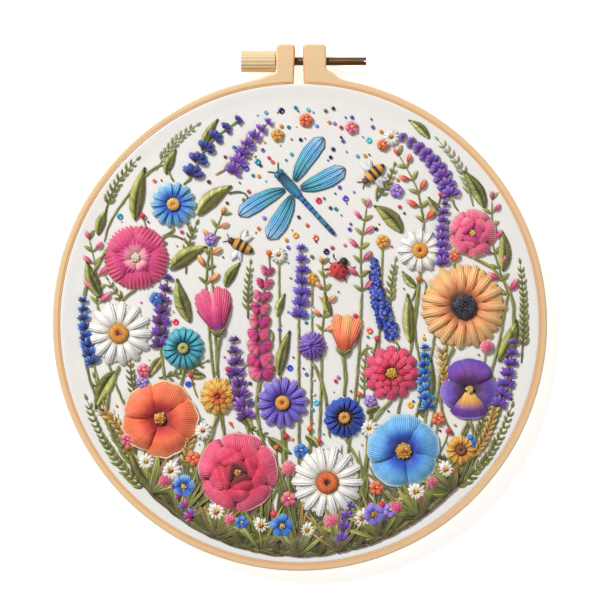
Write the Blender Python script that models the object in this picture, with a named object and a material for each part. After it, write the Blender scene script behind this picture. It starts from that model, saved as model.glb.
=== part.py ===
"""Hoop embroidery art, lying on its back and face up: a split wooden hoop with ears and a
tension screw, an inner ring, a cloth stretched over it and trimmed behind, and padded
flowers, leaves and insects sewn to the cloth.

Metres, +Z up, +Y towards the screw. The origin is under the middle of the whole object's box.
Tables give places in millimetres from the hoop's middle."""

import math

import bmesh
import bpy
from mathutils import Vector

MM = 0.001
GAP = 0.0003

# Hoop and cloth
HOOP_RADIUS = 0.100
RING_WIDTH = 0.0032
RING_DEPTH = 0.008
EDGE_ROUND = 0.0005
CLOTH = 0.001
RIM_PROUD = 0.0007
SKIRT_END = 0.0006
RING_STEPS = 72

INNER_TOP = RING_DEPTH
CLOTH_TOP = INNER_TOP + GAP + CLOTH
OUTER_TOP = CLOTH_TOP + RIM_PROUD
OUTER_BOTTOM = OUTER_TOP - RING_DEPTH
OUTER_INSIDE = HOOP_RADIUS - RING_WIDTH
SKIRT_OUTSIDE = OUTER_INSIDE - GAP
SKIRT_INSIDE = SKIRT_OUTSIDE - CLOTH
INNER_OUTSIDE = SKIRT_INSIDE - GAP
INNER_INSIDE = INNER_OUTSIDE - RING_WIDTH

# Ears, as the outer hoop's outline has them, in millimetres from the hoop's middle
EAR_TOP_MM = 112.9
EAR_CORNER_MM = 1.5
CORNER_STEPS = 3
FLARE_RUN_MM = 1.0
FLARE_IN_MM = 0.6
TOE_RISE_MM = 0.9
TOE_RUN_MM = 2.0
#            gap side at foot, gap side at top, outer side, flare's upper end, foot on the ring
LEFT_EAR_MM = {"foot": -2.5, "top": -1.8, "side": -9.7, "flare": 101.4, "toe": -17.2}
RIGHT_EAR_MM = {"foot": 1.7, "top": 1.1, "side": 10.7, "flare": 102.4, "toe": 17.9}

HOOP_Y = (HOOP_RADIUS - EAR_TOP_MM * MM) / 2

# Tension screw
AXIS_Y = HOOP_Y + 0.1062
AXIS_Z = (OUTER_BOTTOM + OUTER_TOP) / 2
ROD_RADIUS = 0.00175
ROD_START = -0.0175
ROD_END = 0.0270
ROD_SIDES = 20
BORE_RADIUS = ROD_RADIUS + GAP + 0.00005
SLOT_WIDTH = 0.0009
SLOT_DEPTH = 0.0018
KNOB_RADIUS = 0.00445
KNOB_START = -0.0239
KNOB_END = LEFT_EAR_MM["side"] * MM - GAP
KNOB_RIDGES = 20
KNOB_GROOVE = 0.00035
KNOB_CHAMFER = 0.0004

# Where everything that is sewn on begins, just clear of the cloth
SEWN = CLOTH_TOP + GAP

# Flower heads. Petals 0 is a plain dome. The notch is the dip between petals, as a share
# of the radius, and the eye is the raised middle.
#  name              x      y   radius petals turn notch rise  eye  colour
BLOOMS = (
    ("rose_crimson", -25.0, -60.0, 16.0, 0, 0, 0.00, 4.6, 0.0, (0.78, 0.09, 0.20)),
    ("cosmos_white", 11.0, -64.0, 14.5, 8, 8, 0.13, 3.0, 4.2, (0.93, 0.92, 0.88)),
    ("flax_blue", 42.0, -52.0, 15.0, 5, 20, 0.20, 3.6, 3.4, (0.15, 0.40, 0.83)),
    ("pansy_violet", 68.5, -27.0, 12.5, 5, 90, 0.18, 3.0, 2.6, (0.38, 0.20, 0.66)),
    ("dahlia_apricot", 66.0, 7.0, 17.0, 14, 0, 0.16, 4.0, 4.6, (0.93, 0.56, 0.26)),
    ("cosmos_small", 48.5, 29.5, 9.0, 8, 15, 0.13, 2.4, 2.8, (0.93, 0.92, 0.88)),
    ("rose_pink", 69.5, 36.5, 9.5, 0, 0, 0.00, 3.4, 0.0, (0.88, 0.30, 0.44)),
    ("cosmos_left", -73.0, -4.0, 13.0, 8, 0, 0.13, 3.0, 3.8, (0.93, 0.92, 0.88)),
    ("dianthus_magenta", -66.0, 27.0, 13.0, 5, 54, 0.14, 3.2, 2.6, (0.80, 0.16, 0.46)),
    ("button_teal", -47.0, -10.0, 8.5, 12, 0, 0.06, 3.0, 2.0, (0.20, 0.58, 0.70)),
    ("hibiscus_coral", -57.0, -38.0, 15.5, 5, -6, 0.20, 4.0, 3.0, (0.92, 0.33, 0.20)),
    ("marigold_gold", -33.0, -29.5, 7.5, 12, 0, 0.10, 3.4, 0.0, (0.95, 0.62, 0.14)),
    ("aster_lilac", -7.0, -32.0, 10.5, 14, 6, 0.14, 2.6, 3.0, (0.52, 0.44, 0.82)),
    ("button_blue", 18.0, -38.0, 8.5, 12, 10, 0.06, 3.0, 2.0, (0.18, 0.30, 0.74)),
    ("zinnia_raspberry", 37.0, -20.0, 11.0, 12, 0, 0.12, 3.6, 3.0, (0.83, 0.14, 0.30)),
    ("aster_sky", -51.0, 48.0, 9.0, 14, 0, 0.14, 2.6, 2.6, (0.30, 0.56, 0.86)),
    ("thistle_purple", 5.0, -9.0, 6.5, 12, 0, 0.12, 3.6, 0.0, (0.46, 0.18, 0.62)),
    ("forget_blue_a", -7.0, -82.0, 5.0, 5, 18, 0.20, 2.0, 0.0, (0.25, 0.45, 0.88)),
    ("forget_blue_b", 30.0, -77.0, 5.0, 5, 50, 0.20, 2.0, 0.0, (0.25, 0.45, 0.88)),
    ("forget_blue_c", -47.0, -66.0, 5.0, 5, 80, 0.20, 2.0, 0.0, (0.25, 0.45, 0.88)),
    ("aster_gold", 65.0, -51.0, 6.0, 12, 0, 0.12, 2.4, 2.0, (0.93, 0.66, 0.18)),
    ("ladybird", 16.0, 22.0, 4.0, 0, 0, 0.00, 2.4, 0.0, (0.76, 0.08, 0.08)),
)
BLOOM_STEPS = {0: 24, 5: 25, 8: 32, 12: 24, 14: 28}
# Share of the way out, and share of the petals' rise there
BLOOM_RINGS = ((1.0, 0.35), (0.84, 0.88), (0.5, 1.0))
EYE_RINGS = ((1.0, 0.6), (0.8, 1.0))
GROOVE_DEPTH = 0.35
DOME_TOP = 1.08
DIMPLE = 0.55

# Swept shapes lie along a bowed line: start, end, the bow to the left of it, and the form
# that their widths follow.
#  name              x0     y0     x1     y1    bow  width rise form   colour
RIDGES = (
    ("spike_bluebell", -44.0, 59.0, -25.0, 82.0, 3.0, 9.0, 2.4, "spike", (0.20, 0.26, 0.66)),
    ("spike_lilac", 61.0, 51.0, 42.0, 75.0, -3.0, 8.5, 2.4, "spike", (0.50, 0.30, 0.74)),
    ("spike_foxglove", -15.5, -18.5, -13.0, 22.0, 2.0, 10.0, 2.6, "spike", (0.83, 0.30, 0.50)),
    ("spike_grape", 38.0, -6.5, 30.0, 26.0, 2.0, 8.0, 2.4, "spike", (0.22, 0.24, 0.70)),
    ("tulip_pink", -32.5, -4.5, -36.0, 14.0, 0.0, 14.0, 3.2, "cup", (0.86, 0.26, 0.50)),
    ("tulip_coral", 17.5, -12.5, 19.5, 4.0, 0.0, 12.5, 3.0, "cup", (0.94, 0.44, 0.26)),
    ("stem_tulip_pink", -32.5, -5.2, -33.4, -20.6, 0.6, 1.8, 1.2, "stem", (0.30, 0.44, 0.16)),
    ("stem_tulip_coral", 17.3, -13.2, 17.8, -28.4, 0.6, 1.8, 1.2, "stem", (0.30, 0.44, 0.16)),
    ("stem_thistle", 5.3, -16.2, 10.0, -30.6, 0.8, 1.6, 1.2, "stem", (0.30, 0.44, 0.16)),
    ("dragonfly_body", -8.0, 60.0, 14.0, 36.0, 0.0, 3.6, 2.2, "body", (0.10, 0.35, 0.52)),
    ("wing_fore_right", -2.1, 57.5, 9.7, 75.0, 1.0, 6.6, 0.9, "wing", (0.42, 0.72, 0.82)),
    ("wing_hind_right", 0.2, 54.6, 18.2, 62.8, -1.0, 7.2, 0.9, "wing", (0.42, 0.72, 0.82)),
    ("wing_fore_left", -6.0, 54.0, -24.6, 43.5, -1.0, 6.6, 0.9, "wing", (0.42, 0.72, 0.82)),
    ("wing_hind_left", -3.2, 51.7, -13.0, 34.2, 1.0, 7.2, 0.9, "wing", (0.42, 0.72, 0.82)),
    ("bee_body_right", 27.0, 58.0, 34.0, 64.0, 0.0, 4.8, 2.4, "body", (0.90, 0.68, 0.16)),
    ("bee_body_left", -27.0, 33.0, -19.0, 29.0, 0.0, 4.8, 2.4, "body", (0.90, 0.68, 0.16)),
)
# Padded leaves: start, end, bow, width
LEAVES = (
    (-66.5, 42.0, -62.5, 63.0, 1.0, 6.0),
    (-80.5, 11.0, -86.0, 25.0, 0.8, 5.6),
    (-74.5, -19.5, -82.5, -34.5, -1.0, 6.4),
    (-67.0, -53.0, -54.5, -70.5, -1.5, 6.6),
    (-39.0, -76.0, -17.5, -86.0, -1.6, 6.2),
    (2.5, -81.5, 21.0, -85.5, -1.2, 5.2),
    (39.0, -71.5, 57.5, -66.0, -1.6, 5.8),
    (80.5, -15.0, 87.5, 1.5, -1.0, 6.2),
    (82.0, 21.5, 81.5, 37.5, -1.0, 5.0),
    (74.5, 47.0, 66.0, 61.5, -1.0, 5.4),
    (-41.0, 44.0, -27.5, 55.5, 1.4, 6.6),
    (-52.0, 22.0, -37.5, 31.0, 1.2, 6.4),
    (-44.5, 1.0, -49.5, 18.0, 0.8, 6.0),
    (-8.5, -20.5, -4.0, -3.0, 0.6, 4.6),
    (44.5, -7.5, 43.5, 12.0, 0.0, 5.2),
    (41.0, 37.0, 30.0, 47.5, -1.2, 6.2),
    (51.0, -34.0, 53.0, -14.0, 0.0, 5.4),
)
LEAF_RISE = 1.5
LEAF_COLOUR = (0.33, 0.46, 0.15)
RIDGE_FORMS = {
    "spike": (
        (0.0, 0.45),
        (0.12, 0.95),
        (0.3, 1.0),
        (0.5, 0.92),
        (0.7, 0.74),
        (0.88, 0.45),
        (1.0, 0.14),
    ),
    "cup": ((0.0, 0.25), (0.12, 0.72), (0.32, 1.0), (0.6, 0.98), (0.85, 0.9), (1.0, 0.62)),
    "body": ((0.0, 0.3), (0.12, 0.85), (0.3, 1.0), (0.5, 0.85), (0.8, 0.55), (1.0, 0.2)),
    "wing": ((0.0, 0.25), (0.25, 0.72), (0.6, 1.0), (0.85, 0.85), (1.0, 0.3)),
    "leaf": ((0.0, 0.12), (0.2, 0.72), (0.45, 1.0), (0.7, 0.78), (0.9, 0.34), (1.0, 0.06)),
    "stem": ((0.0, 1.0), (0.33, 1.0), (0.67, 1.0), (1.0, 1.0)),
}
# A ridge's section, as shares of its half width and its rise; a leaf dips at its midrib
ROUND_SECTION = ((-1.0, 0.0), (-0.74, 0.66), (0.0, 1.0), (0.74, 0.66), (1.0, 0.0))
LEAF_SECTION = ((-1.0, 0.0), (-0.55, 1.0), (0.0, 0.7), (0.55, 1.0), (1.0, 0.0))


def material(name, colour, roughness=0.6, metallic=0.0):
    made = bpy.data.materials.new(name)
    made.use_nodes = True
    shader = made.node_tree.nodes["Principled BSDF"]
    shader.inputs["Base Color"].default_value = (*colour, 1.0)
    shader.inputs["Roughness"].default_value = roughness
    shader.inputs["Metallic"].default_value = metallic
    return made


def finish(bm, name, finish_of, parent=None):
    """Turns a closed bmesh into a named object, shaded smooth up to 40 degrees."""
    bmesh.ops.recalc_face_normals(bm, faces=bm.faces[:])
    mesh = bpy.data.meshes.new(name)
    bm.to_mesh(mesh)
    bm.free()
    mesh.materials.append(finish_of)
    mesh.shade_smooth()
    mesh.set_sharp_from_angle(angle=math.radians(40))
    made = bpy.data.objects.new(name, mesh)
    bpy.context.scene.collection.objects.link(made)
    made.parent = parent
    return made


def cut(target, cutter):
    """Takes the cutter's shape out of the target, and keeps the cutter as a guide."""
    cutter.hide_render = True
    cutter.display_type = "WIRE"
    modifier = target.modifiers.new("cut", "BOOLEAN")
    modifier.operation = "DIFFERENCE"
    modifier.object = cutter


def stacked(bm, rings, apex=None):
    """Skins a stack of rings, each a list of as many points, and closes both of its ends.
    With an apex, the last ring runs up to that point."""
    slot = bm.verts.layers.int.new("slot")
    first = bmesh.ops.create_circle(bm, segments=len(rings[0]), radius=1.0)["verts"]
    for place, vert in enumerate(first):
        vert[slot] = place
        vert.co = rings[0][place]
    edges = bm.edges[:]
    bmesh.ops.contextual_create(bm, geom=first)
    for ring in rings[1:]:
        grown = bmesh.ops.extrude_edge_only(bm, edges=edges)["geom"]
        top = {item for item in grown if isinstance(item, bmesh.types.BMVert)}
        edges = [
            item
            for item in grown
            if isinstance(item, bmesh.types.BMEdge) and set(item.verts) <= top
        ]
        for vert in top:
            vert.co = ring[vert[slot]]
    if apex is None:
        bmesh.ops.contextual_create(bm, geom=list(top))
        return
    fan = bmesh.ops.extrude_edge_only(bm, edges=edges)["geom"]
    tip = [item for item in fan if isinstance(item, bmesh.types.BMVert)]
    bmesh.ops.pointmerge(bm, verts=tip, merge_co=apex)


def on_hoop(x_mm, y_mm, z):
    return Vector((x_mm * MM, HOOP_Y + y_mm * MM, z))


# Hoop


def turned_ring(name, profile, finish_of):
    """A ring turned about the hoop's axis from a closed profile of (radius, height)."""
    bm = bmesh.new()
    verts = [bm.verts.new((radius, 0.0, height)) for radius, height in profile]
    edges = [
        bm.edges.new((verts[i], verts[(i + 1) % len(verts)])) for i in range(len(verts))
    ]
    bmesh.ops.spin(
        bm,
        geom=verts + edges,
        cent=(0, 0, 0),
        axis=(0, 0, 1),
        angle=math.tau,
        steps=RING_STEPS,
        use_merge=True,
    )
    made = finish(bm, name, finish_of)
    made.location.y = HOOP_Y
    return made


def chamfered(inside, outside, bottom, top, corner):
    """A ring's section, (radius, height) all round it, with its corners taken off."""
    return (
        (inside + corner, bottom),
        (outside - corner, bottom),
        (outside, bottom + corner),
        (outside, top - corner),
        (outside - corner, top),
        (inside + corner, top),
        (inside, top - corner),
        (inside, bottom + corner),
    )


def arc(middle, radius, start, end, steps):
    """Points on an arc, in millimetres, from angle start to angle end in degrees."""
    points = []
    for step in range(steps + 1):
        angle = math.radians(start + (end - start) * step / steps)
        points.append(
            (middle[0] + radius * math.cos(angle), middle[1] + radius * math.sin(angle))
        )
    return points


def ear(sizes, side):
    """An ear's outline from its gap side to its toe on the ring. side is 1 right, -1 left."""
    outer = HOOP_RADIUS / MM
    inner = OUTER_INSIDE / MM
    corner = EAR_CORNER_MM
    points = [(sizes["foot"], math.sqrt(inner**2 - sizes["foot"] ** 2))]
    gap_turns, side_turns = ((180, 90), (90, 0)) if side > 0 else ((0, 90), (90, 180))
    middle = (sizes["top"] + side * corner, EAR_TOP_MM - corner)
    points += arc(middle, corner, *gap_turns, CORNER_STEPS)
    middle = (sizes["side"] - side * corner, EAR_TOP_MM - corner)
    points += arc(middle, corner, *side_turns, CORNER_STEPS)
    on_ring = math.sqrt(outer**2 - sizes["toe"] ** 2)
    points.append((sizes["side"], sizes["flare"] + FLARE_RUN_MM))
    points.append((sizes["side"] + side * FLARE_IN_MM, sizes["flare"] - FLARE_RUN_MM / 3))
    points.append((sizes["toe"] - side * TOE_RUN_MM, on_ring + TOE_RISE_MM))
    points.append((sizes["toe"], on_ring))
    return points


def outer_hoop():
    """The split outer ring, its two ears and the screw's holes through them."""
    outer = HOOP_RADIUS / MM
    inner = OUTER_INSIDE / MM
    right = ear(RIGHT_EAR_MM, 1)
    left = ear(LEFT_EAR_MM, -1)
    right_toe = math.degrees(math.atan2(right[-1][1], right[-1][0]))
    left_toe = math.degrees(math.atan2(left[-1][1], left[-1][0]))
    right_foot = math.degrees(math.atan2(right[0][1], right[0][0]))
    left_foot = math.degrees(math.atan2(left[0][1], left[0][0]))
    outline = right
    outline += arc((0, 0), outer, right_toe, left_toe - 360, RING_STEPS)[1:-1]
    outline += left[::-1]
    outline += arc((0, 0), inner, left_foot - 360, right_foot, RING_STEPS)[1:-1]
    bm = bmesh.new()
    verts = [bm.verts.new(on_hoop(x, y, OUTER_BOTTOM)) for x, y in outline]
    face = bm.faces.new(verts)
    grown = bmesh.ops.extrude_face_region(bm, geom=[face])["geom"]
    top = [item for item in grown if isinstance(item, bmesh.types.BMVert)]
    bmesh.ops.translate(bm, verts=top, vec=(0, 0, RING_DEPTH))
    rims = [edge for edge in bm.edges if edge.verts[0].co.z == edge.verts[1].co.z]
    bmesh.ops.bevel(
        bm,
        geom=rims,
        offset=EDGE_ROUND,
        segments=1,
        profile=0.5,
        affect="EDGES",
        material=-1,
    )
    hoop = finish(bm, "outer_hoop", material("outer_hoop", (0.86, 0.68, 0.48), 0.45))
    drill = bar("bore_guide", BORE_RADIUS, LEFT_EAR_MM["toe"] * MM, RIGHT_EAR_MM["toe"] * MM)
    cut(hoop, drill)


def inner_hoop():
    section = chamfered(INNER_INSIDE, INNER_OUTSIDE, 0.0, INNER_TOP, EDGE_ROUND)
    turned_ring("inner_hoop", section, material("inner_hoop", (0.84, 0.66, 0.46), 0.5))


def cloth():
    """One cloth: stretched flat on the inner ring, over its rim, down between the rings,
    and trimmed just short of the back."""
    under = CLOTH_TOP - CLOTH
    profile = (
        (0.0, CLOTH_TOP),
        (SKIRT_OUTSIDE - CLOTH, CLOTH_TOP),
        (SKIRT_OUTSIDE - 0.3 * CLOTH, CLOTH_TOP - 0.3 * CLOTH),
        (SKIRT_OUTSIDE, CLOTH_TOP - CLOTH),
        (SKIRT_OUTSIDE, SKIRT_END),
        (SKIRT_INSIDE, SKIRT_END),
        (SKIRT_INSIDE, under - 0.4 * CLOTH),
        (SKIRT_INSIDE - 0.4 * CLOTH, under),
        (0.0, under),
    )
    bm = bmesh.new()
    verts = [bm.verts.new((radius, 0.0, height)) for radius, height in profile]
    edges = [bm.edges.new(pair) for pair in zip(verts, verts[1:])]
    bmesh.ops.spin(
        bm,
        geom=verts + edges,
        cent=(0, 0, 0),
        axis=(0, 0, 1),
        angle=math.tau,
        steps=RING_STEPS,
        use_merge=True,
    )
    bmesh.ops.remove_doubles(bm, verts=bm.verts[:], dist=1e-6)
    made = finish(bm, "cloth", material("cloth", (0.93, 0.92, 0.88), 0.9))
    made.location.y = HOOP_Y


# Tension screw


def bar(name, radius, start, end, sides=ROD_SIDES, finish_of=None):
    """A round bar along X on the screw's axis, from start to end."""
    bm = bmesh.new()
    rings = [
        [
            Vector((x, radius * math.cos(turn), radius * math.sin(turn)))
            for turn in (math.tau * side / sides for side in range(sides))
        ]
        for x in (start, end)
    ]
    stacked(bm, rings)
    made = finish(bm, name, finish_of or material(name, (0.5, 0.5, 0.5)), axis_empty())
    return made


def axis_empty():
    """The empty on the screw's axis, which what turns hangs from."""
    found = bpy.data.objects.get("screw_axis")
    if found is None:
        found = bpy.data.objects.new("screw_axis", None)
        bpy.context.scene.collection.objects.link(found)
        found.location = (0.0, AXIS_Y, AXIS_Z)
    return found


def screw_rod():
    brown = material("screw_rod", (0.30, 0.19, 0.11), 0.45, 0.8)
    rod = bar("screw_rod", ROD_RADIUS, ROD_START, ROD_END, ROD_SIDES, brown)
    bm = bmesh.new()
    bmesh.ops.create_cube(bm, size=1.0)
    bmesh.ops.scale(bm, verts=bm.verts[:], vec=(2 * SLOT_DEPTH, SLOT_WIDTH, 3 * ROD_RADIUS))
    bmesh.ops.translate(bm, verts=bm.verts[:], vec=(ROD_END, 0, 0))
    slot = finish(bm, "slot_guide", brown, axis_empty())
    cut(rod, slot)


def screw_knob():
    """The ridged wooden knob, with the blind hole that the rod is set in."""
    wood = material("screw_knob", (0.86, 0.72, 0.46), 0.6)
    points = 2 * KNOB_RIDGES
    ends = (
        (KNOB_START, KNOB_CHAMFER),
        (KNOB_START + KNOB_CHAMFER, 0.0),
        (KNOB_END - KNOB_CHAMFER, 0.0),
        (KNOB_END, KNOB_CHAMFER),
    )
    rings = []
    for x, inset in ends:
        ring = []
        for point in range(points):
            turn = math.tau * point / points
            radius = KNOB_RADIUS - inset - KNOB_GROOVE * (point % 2)
            ring.append(Vector((x, radius * math.cos(turn), radius * math.sin(turn))))
        rings.append(ring)
    bm = bmesh.new()
    stacked(bm, rings)
    knob = finish(bm, "screw_knob", wood, axis_empty())
    cut(knob, bar("socket_guide", BORE_RADIUS, ROD_START - GAP, KNOB_END + 0.004))


# What is sewn on


def bloom(name, x, y, radius, petals, turn, notch, rise, eye, colour):
    """A padded flower head: a low dome whose petals rise between grooves, with its eye."""
    steps = BLOOM_STEPS[petals]
    outline = []
    for step in range(steps):
        angle = math.tau * step / steps
        lobe = 1.0
        if petals:
            lobe = abs(math.cos(petals * (angle - math.radians(turn)) / 2)) ** 0.7
        outline.append((angle, lobe, radius * (1 - notch * (1 - lobe))))
    levels = [(1.0, 0.0)] + list(BLOOM_RINGS)
    rings = []
    for share, height in levels:
        ring = []
        for angle, lobe, reach in outline:
            z = SEWN + rise * MM * height * (1 - GROOVE_DEPTH * (1 - lobe))
            out = reach * share
            ring.append(on_hoop(x + out * math.cos(angle), y + out * math.sin(angle), z))
        rings.append(ring)
    top = SEWN + rise * MM * (DIMPLE if petals else DOME_TOP)
    if eye:
        top = SEWN + rise * MM
        for share, height in EYE_RINGS:
            ring = []
            for angle, _, _ in outline:
                out = eye * share
                place = (x + out * math.cos(angle), y + out * math.sin(angle))
                ring.append(on_hoop(*place, SEWN + rise * MM * height))
            rings.append(ring)
    bm = bmesh.new()
    stacked(bm, rings, apex=on_hoop(x, y, top))
    finish(bm, name, material(name, colour, 0.7))


def bowed(start, end, bow, share):
    """A point on the bowed line and the direction across it, both in millimetres."""
    run = Vector((end[0] - start[0], end[1] - start[1]))
    left = Vector((-run.y, run.x)).normalized()
    point = Vector(start) + run * share + left * bow * 4 * share * (1 - share)
    along = run + left * bow * 4 * (1 - 2 * share)
    return point, Vector((-along.y, along.x)).normalized()


def ridge(name, x0, y0, x1, y1, bow, width, rise, form, colour):
    """A padded shape along a bowed line, flat below, whose width follows its form."""
    rings = []
    for share, wide in RIDGE_FORMS[form]:
        point, across = bowed((x0, y0), (x1, y1), bow, share)
        half = width / 2 * wide
        high = rise * (0.4 + 0.6 * wide)
        ring = []
        for out, up in LEAF_SECTION if form == "leaf" else ROUND_SECTION:
            place = point + across * half * out
            ring.append(on_hoop(place.x, place.y, SEWN + high * up * MM))
        rings.append(ring)
    bm = bmesh.new()
    stacked(bm, rings)
    finish(bm, name, material(name, colour, 0.75))


def main():
    for old in list(bpy.data.objects):
        bpy.data.objects.remove(old)
    outer_hoop()
    inner_hoop()
    cloth()
    screw_rod()
    screw_knob()
    for row in BLOOMS:
        bloom(*row)
    for row in RIDGES:
        ridge(*row)
    for number, row in enumerate(LEAVES, 1):
        ridge(f"leaf_{number:02d}", *row, LEAF_RISE, "leaf", LEAF_COLOUR)


main()
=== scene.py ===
"""Looks of the hoop embroidery: a beech hoop with its tension screw, the stretched cotton and
a garland worked on it in stranded thread, French knots, beads and sequins.

Tables give places in millimetres from the hoop's middle, and heights above the cloth.
A line in them is a start, an end and how far its middle bows to the left, as five numbers.
Shades are named in a row, from a stitch's start to its end."""

import functools
import math

import bmesh
import bpy
import numpy as np
from bpy.props import FloatProperty, FloatVectorProperty, IntProperty, PointerProperty
from mathutils import Matrix, Vector


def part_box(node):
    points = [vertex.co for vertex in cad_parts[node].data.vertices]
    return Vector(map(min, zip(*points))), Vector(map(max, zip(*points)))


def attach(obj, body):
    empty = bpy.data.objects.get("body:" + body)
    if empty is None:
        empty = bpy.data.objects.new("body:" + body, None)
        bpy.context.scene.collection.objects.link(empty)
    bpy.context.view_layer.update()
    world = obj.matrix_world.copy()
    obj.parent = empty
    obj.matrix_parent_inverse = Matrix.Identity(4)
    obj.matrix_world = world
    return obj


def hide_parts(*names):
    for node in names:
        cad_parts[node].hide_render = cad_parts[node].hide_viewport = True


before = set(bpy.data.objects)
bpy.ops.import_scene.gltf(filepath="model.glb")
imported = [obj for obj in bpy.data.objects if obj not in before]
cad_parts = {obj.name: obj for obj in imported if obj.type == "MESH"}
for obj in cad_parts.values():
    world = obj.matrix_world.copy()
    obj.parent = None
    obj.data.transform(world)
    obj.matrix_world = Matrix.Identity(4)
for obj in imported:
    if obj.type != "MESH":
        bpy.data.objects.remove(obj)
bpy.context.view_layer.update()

bl_info = {
    "name": "Hoop embroidery looks",
    "version": (1, 0, 0),
    "blender": (4, 5, 0),
    "location": "3D View > Sidebar > Embroidery",
    "description": "Dresses the hoop's solids in wood, cotton and stitches",
    "category": "Object",
}

MM = 0.001
HOOP_LOW, HOOP_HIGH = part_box("inner_hoop")
HOOP_X = (HOOP_LOW.x + HOOP_HIGH.x) / 2
HOOP_Y = (HOOP_LOW.y + HOOP_HIGH.y) / 2
CLOTH_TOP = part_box("cloth")[1].z
RIM_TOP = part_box("outer_hoop")[1].z
RNG = np.random.default_rng(29)

# Thread colours, as 0 to 255 in sRGB
SHADES = {
    "white": (250, 247, 240), "cream": (244, 228, 196), "linen": (226, 202, 164),
    "butter": (250, 214, 120), "gold": (236, 168, 52), "honey": (214, 132, 36),
    "orange": (232, 112, 38), "rust": (168, 74, 30), "brown": (92, 56, 32), "slate": (52, 54, 66),
    "black": (30, 26, 28), "apricot": (250, 200, 134), "peach": (252, 168, 110),
    "coral": (252, 116, 74), "scarlet": (222, 44, 44), "crimson": (222, 40, 78), "wine": (120, 16, 44),
    "raspberry": (232, 62, 104), "pink": (244, 104, 140), "blush": (250, 176, 186),
    "magenta": (208, 40, 124), "rose": (228, 74, 128), "plum": (96, 38, 116), "purple": (130, 62, 176),
    "violet": (106, 72, 192), "periwinkle": (128, 116, 220), "lilac": (180, 146, 232),
    "indigo": (46, 48, 140), "navy": (26, 34, 84), "royal": (34, 72, 196), "blue": (40, 116, 216),
    "sky": (112, 186, 240), "ice": (186, 226, 246), "teal": (34, 142, 168), "aqua": (92, 196, 212),
    "forest": (58, 60, 16), "moss": (97, 98, 30), "olive": (133, 134, 52), "leaf": (160, 162, 74),
    "lime": (196, 196, 110), "sage": (172, 174, 128), "straw": (196, 158, 84), "bark": (122, 104, 60),
    "umber": (112, 86, 46), "earth": (78, 62, 32),
}


def dye(name):
    """A shade, by its name or as 0 to 255, as linear colour."""
    value = np.asarray(SHADES[name] if isinstance(name, str) else name, float) / 255
    return np.where(value <= 0.04045, value / 12.92, ((value + 0.055) / 1.055) ** 2.4)


def stops(names, share):
    """Colours along a row of shades, at shares from 0 to 1."""
    ladder = np.array([dye(name) for name in names.split()])
    at = np.linspace(0, 1, len(ladder))
    return np.stack([np.interp(share, at, ladder[:, i]) for i in range(3)], axis=-1)


def smooth(value):
    value = np.clip(value, 0, 1)
    return value * value * (3 - 2 * value)


# Properties


def colour(name, description, default):
    return FloatVectorProperty(
        name=name, description=description, default=default, subtype="COLOR_GAMMA", min=0, max=1
    )


def number(name, description, default, low, high, unit="NONE", scale=1):
    return FloatProperty(
        name=name,
        description=description,
        default=default * scale,
        min=low * scale,
        max=high * scale,
        unit=unit,
    )


def length(name, description, default, low, high):
    """A length that is given here in millimetres."""
    return number(name, description, default, low, high, "LENGTH", MM)


class HoopLook(bpy.types.PropertyGroup):
    beech: colour("Beech", "Colour of the varnished rings and ears", (0.950, 0.800, 0.620))
    knob: colour("Knob", "Colour of the knob's bare wood", (0.92, 0.83, 0.67))
    bronze: colour("Bronze", "Colour of the tension screw's rod", (0.43, 0.30, 0.19))
    edge: length("Edge", "How far the rings' edges are rounded", 0.8, 0.1, 1.2)


class ClothLook(bpy.types.PropertyGroup):
    tint: colour("Cotton", "Colour of the ground cloth", (0.945, 0.932, 0.910))
    weave: length("Weave", "Distance from one thread of the cloth to the next", 0.42, 0.2, 1.0)
    pucker: length("Pucker", "How far the stitches pull the cloth out of flat", 0.22, 0.0, 0.5)


class ThreadLook(bpy.types.PropertyGroup):
    pitch: length("Pitch", "Distance between neighbouring satin stitches", 0.80, 0.4, 1.2)
    plump: number("Plumpness", "Thickness of a stitch against its pitch", 1.14, 0.8, 1.6)
    sheen: number("Sheen", "How silky the thread is", 0.20, 0.0, 1.0)


class FillLook(bpy.types.PropertyGroup):
    knots: IntProperty(
        name="Knots",
        description="Number of French knots scattered on the open cloth",
        default=130,
        min=0,
        max=600,
    )
    beads: IntProperty(
        name="Beads",
        description="Number of seed beads scattered on the open cloth",
        default=48,
        min=0,
        max=300,
    )


class StageLook(bpy.types.PropertyGroup):
    lens: number("Lens", "Focal length of the camera above the hoop", 135.0, 50, 250, "CAMERA")
    width: length("Width", "Width of what the camera takes in at the rim", 242.2, 100, 500)
    key: number("Key", "Power of the soft light at the upper left", 32.0, 0, 100, "POWER")
    sky: number("Sky", "Strength of the light from all round", 0.17, 0, 3)


# Materials


class Value:
    """A node's output that works like a number: each sign adds a Math node."""

    def __init__(self, made, output):
        self.made, self.output = made, output

    def __add__(self, other):
        return self.made.math("ADD", self, other)

    def __sub__(self, other):
        return self.made.math("SUBTRACT", self, other)

    def __rsub__(self, other):
        return self.made.math("SUBTRACT", other, self)

    def __mul__(self, other):
        return self.made.math("MULTIPLY", self, other)

    def __truediv__(self, other):
        return self.made.math("DIVIDE", self, other)

    def __pow__(self, other):
        return self.made.math("POWER", self, other)

    def __abs__(self):
        return self.made.math("ABSOLUTE", self)


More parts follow.
